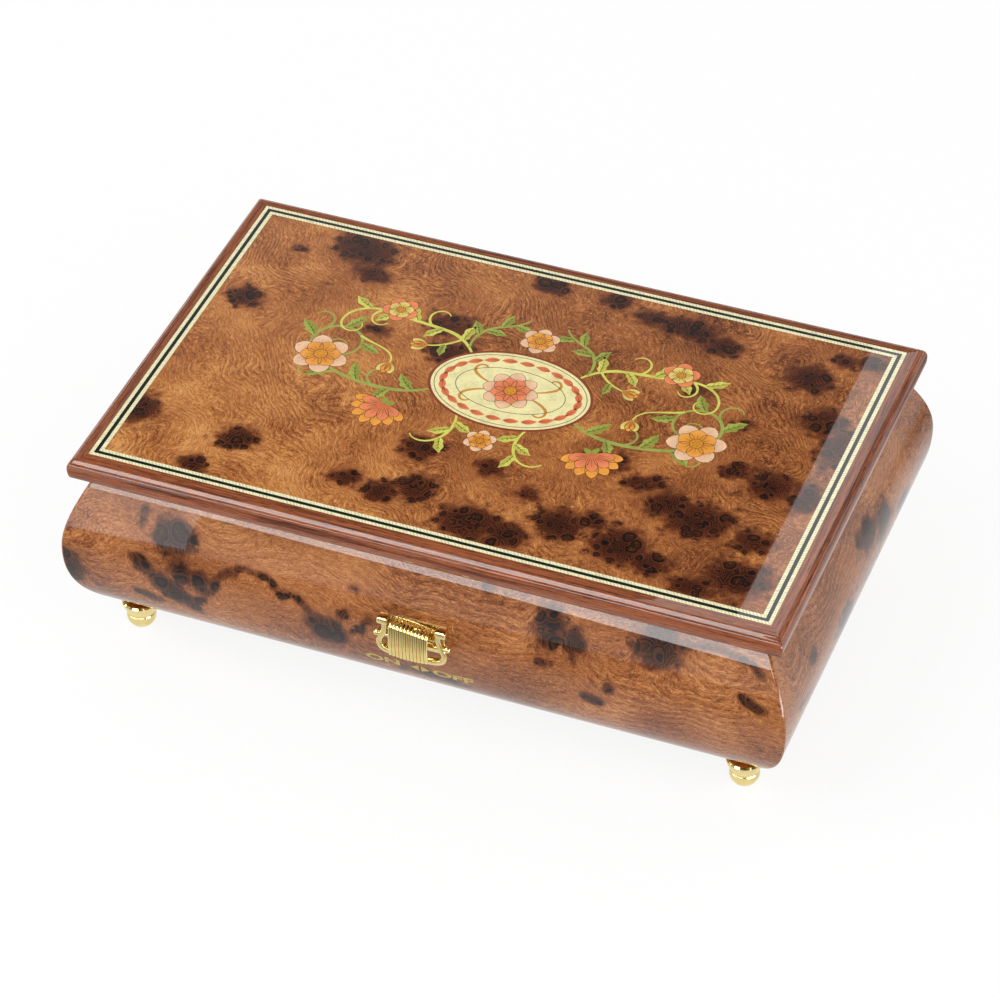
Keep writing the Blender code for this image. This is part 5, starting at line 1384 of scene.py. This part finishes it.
def card(name, strength, *corners):
    """A studio card that only polished surfaces see; its corners are in millimetres."""
    g = Graph(name)
    g.cover(g.make("Emission", {"Color": WHITE, "Strength": strength}).outputs[0])
    piece = mesh_piece(name, corners, [tuple(range(len(corners)))], [g.material])
    piece.visible_camera = False
    piece.visible_diffuse = False
    piece.visible_shadow = False
    piece.visible_transmission = False


def make_cards():
    # Strips that draw the bright band under the rim, one before each side
    front = ((-420, 150.5), (-207, 150.5), (-56, 146), (79, 135), (160, 132), (160, 178), (-420, 178))
    card("strip_front", 7.6, *((x, -400, z) for x, z in front))
    card("strip_right", 2.2, (455, -400, 126), (455, 330, 126), (455, 330, 178), (455, -400, 178))
    card("strip_back", 4.0, (420, 400, 148), (-420, 400, 148), (-420, 400, 178), (420, 400, 178))
    card("strip_left", 4.0, (-455, 330, 148), (-455, -330, 148), (-455, -330, 178), (-455, 330, 178))

    card("strobe_right", 12.0, (379, -425, 2), (550, -62, 2), (550, -62, 168), (379, -425, 168))
    card("patch_left", 2.4, (-700, -400, 4), (-280, -400, 4), (-212, -400, 42), (-212, -400, 150),
         (-700, -400, 150))
    card("softbox_front", 8.0, (-470, -190, 900), (-15, -190, 900), (-130, -1190, 900),
         (-680, -1190, 900))
    card("window_right", 2.3, (-130, 160, 900), (330, 160, 900), (330, 1250, 900), (-130, 1250, 900))


def make_world():
    """Even white light; polished surfaces see it dim at middle heights, as in a studio."""
    world = bpy.data.worlds.new("studio")
    bpy.context.scene.world = world
    world.use_nodes = True
    world.node_tree.nodes.clear()
    g = Nodes(world.node_tree)
    plain, glossy = g.seen_plainly()
    rise = g.make("SeparateXYZ", {"Vector": g.make("TexCoord").outputs["Generated"]}).outputs[2]
    levels = ((0.0, 0.95), (0.10, 0.8), (0.20, 0.4), (0.34, 0.12), (0.50, 0.30), (0.59, 0.70),
              (0.64, 0.12), (0.80, 0.06), (0.94, 0.20), (1.0, 0.25))
    studio = g.ramp(rise, *((place, (level, level, level, 1)) for place, level in levels))
    lit, dim, white = (g.make("Background", {"Color": colour, "Strength": strength}).outputs[0]
                       for colour, strength in ((WHITE, 0.62), (studio, 1.0), (WHITE, 1.0)))
    unseen = g.make("MixShader", {0: glossy, 1: lit, 2: dim}).outputs[0]
    both = g.make("MixShader", {0: plain, 1: unseen, 2: white}).outputs[0]
    g.make("OutputWorld", {"Surface": both})


def lamp(name, place, size, power):
    """A square lamp that polished surfaces don't see, aimed at the box."""
    light = bpy.data.lights.new(name, "AREA")
    light.shape = "SQUARE"
    light.size = size
    light.energy = power
    holder = new_object(name, light)
    holder.location = place
    aim = Vector((0, 0, 0.05)) - Vector(place)
    holder.rotation_euler = aim.to_track_quat("-Z", "Y").to_euler()
    holder.visible_glossy = False


def make_camera():
    """The camera of the photograph, as fitted to the box's corners."""
    azimuth, elevation, roll = (math.radians(a) for a in (21.7779, 40.7452, -0.7021))
    slide_x, slide_y, distance = -0.0153, -0.1382, 5.7466
    focal_share = 4.07089
    unit = 2 * HALF_X * mm
    back = Vector((math.sin(azimuth) * math.cos(elevation),
                   -math.cos(azimuth) * math.cos(elevation), math.sin(elevation)))
    right = (-back).cross(Vector((0, 0, 1))).normalized()
    up = right.cross(-back)
    across = math.cos(roll) * right + math.sin(roll) * up
    upward = -math.sin(roll) * right + math.cos(roll) * up
    place = (back * distance + across * slide_x + upward * slide_y) * unit
    place += Vector(metres(0, 0, LID_TOP))
    camera = bpy.data.cameras.new("camera")
    camera.sensor_width = 36.0
    camera.lens = focal_share * camera.sensor_width
    camera.shift_x = 0.0076
    camera.shift_y = 0.0004
    camera.clip_start = 0.05
    camera.clip_end = 60.0
    holder = new_object("camera", camera)
    turn = Matrix((across, upward, back)).transposed().to_4x4()
    holder.matrix_world = Matrix.Translation(place) @ turn
    bpy.context.scene.camera = holder


make_case()
make_moulding()
make_lines()
make_veneer()
make_feet()
make_lyre()
make_crossbar()
make_strings()
make_slot_plate()
make_lettering()
finish_kept()
make_marquetry()
make_floor()
make_world()
make_cards()
lamp("key", (-0.9, -1.0, 1.6), 1.4, 16)
lamp("fill", (1.2, -0.9, 0.9), 1.2, 6)
make_camera()
bpy.context.scene.view_settings.view_transform = "Standard"

bpy.context.view_layer.update()
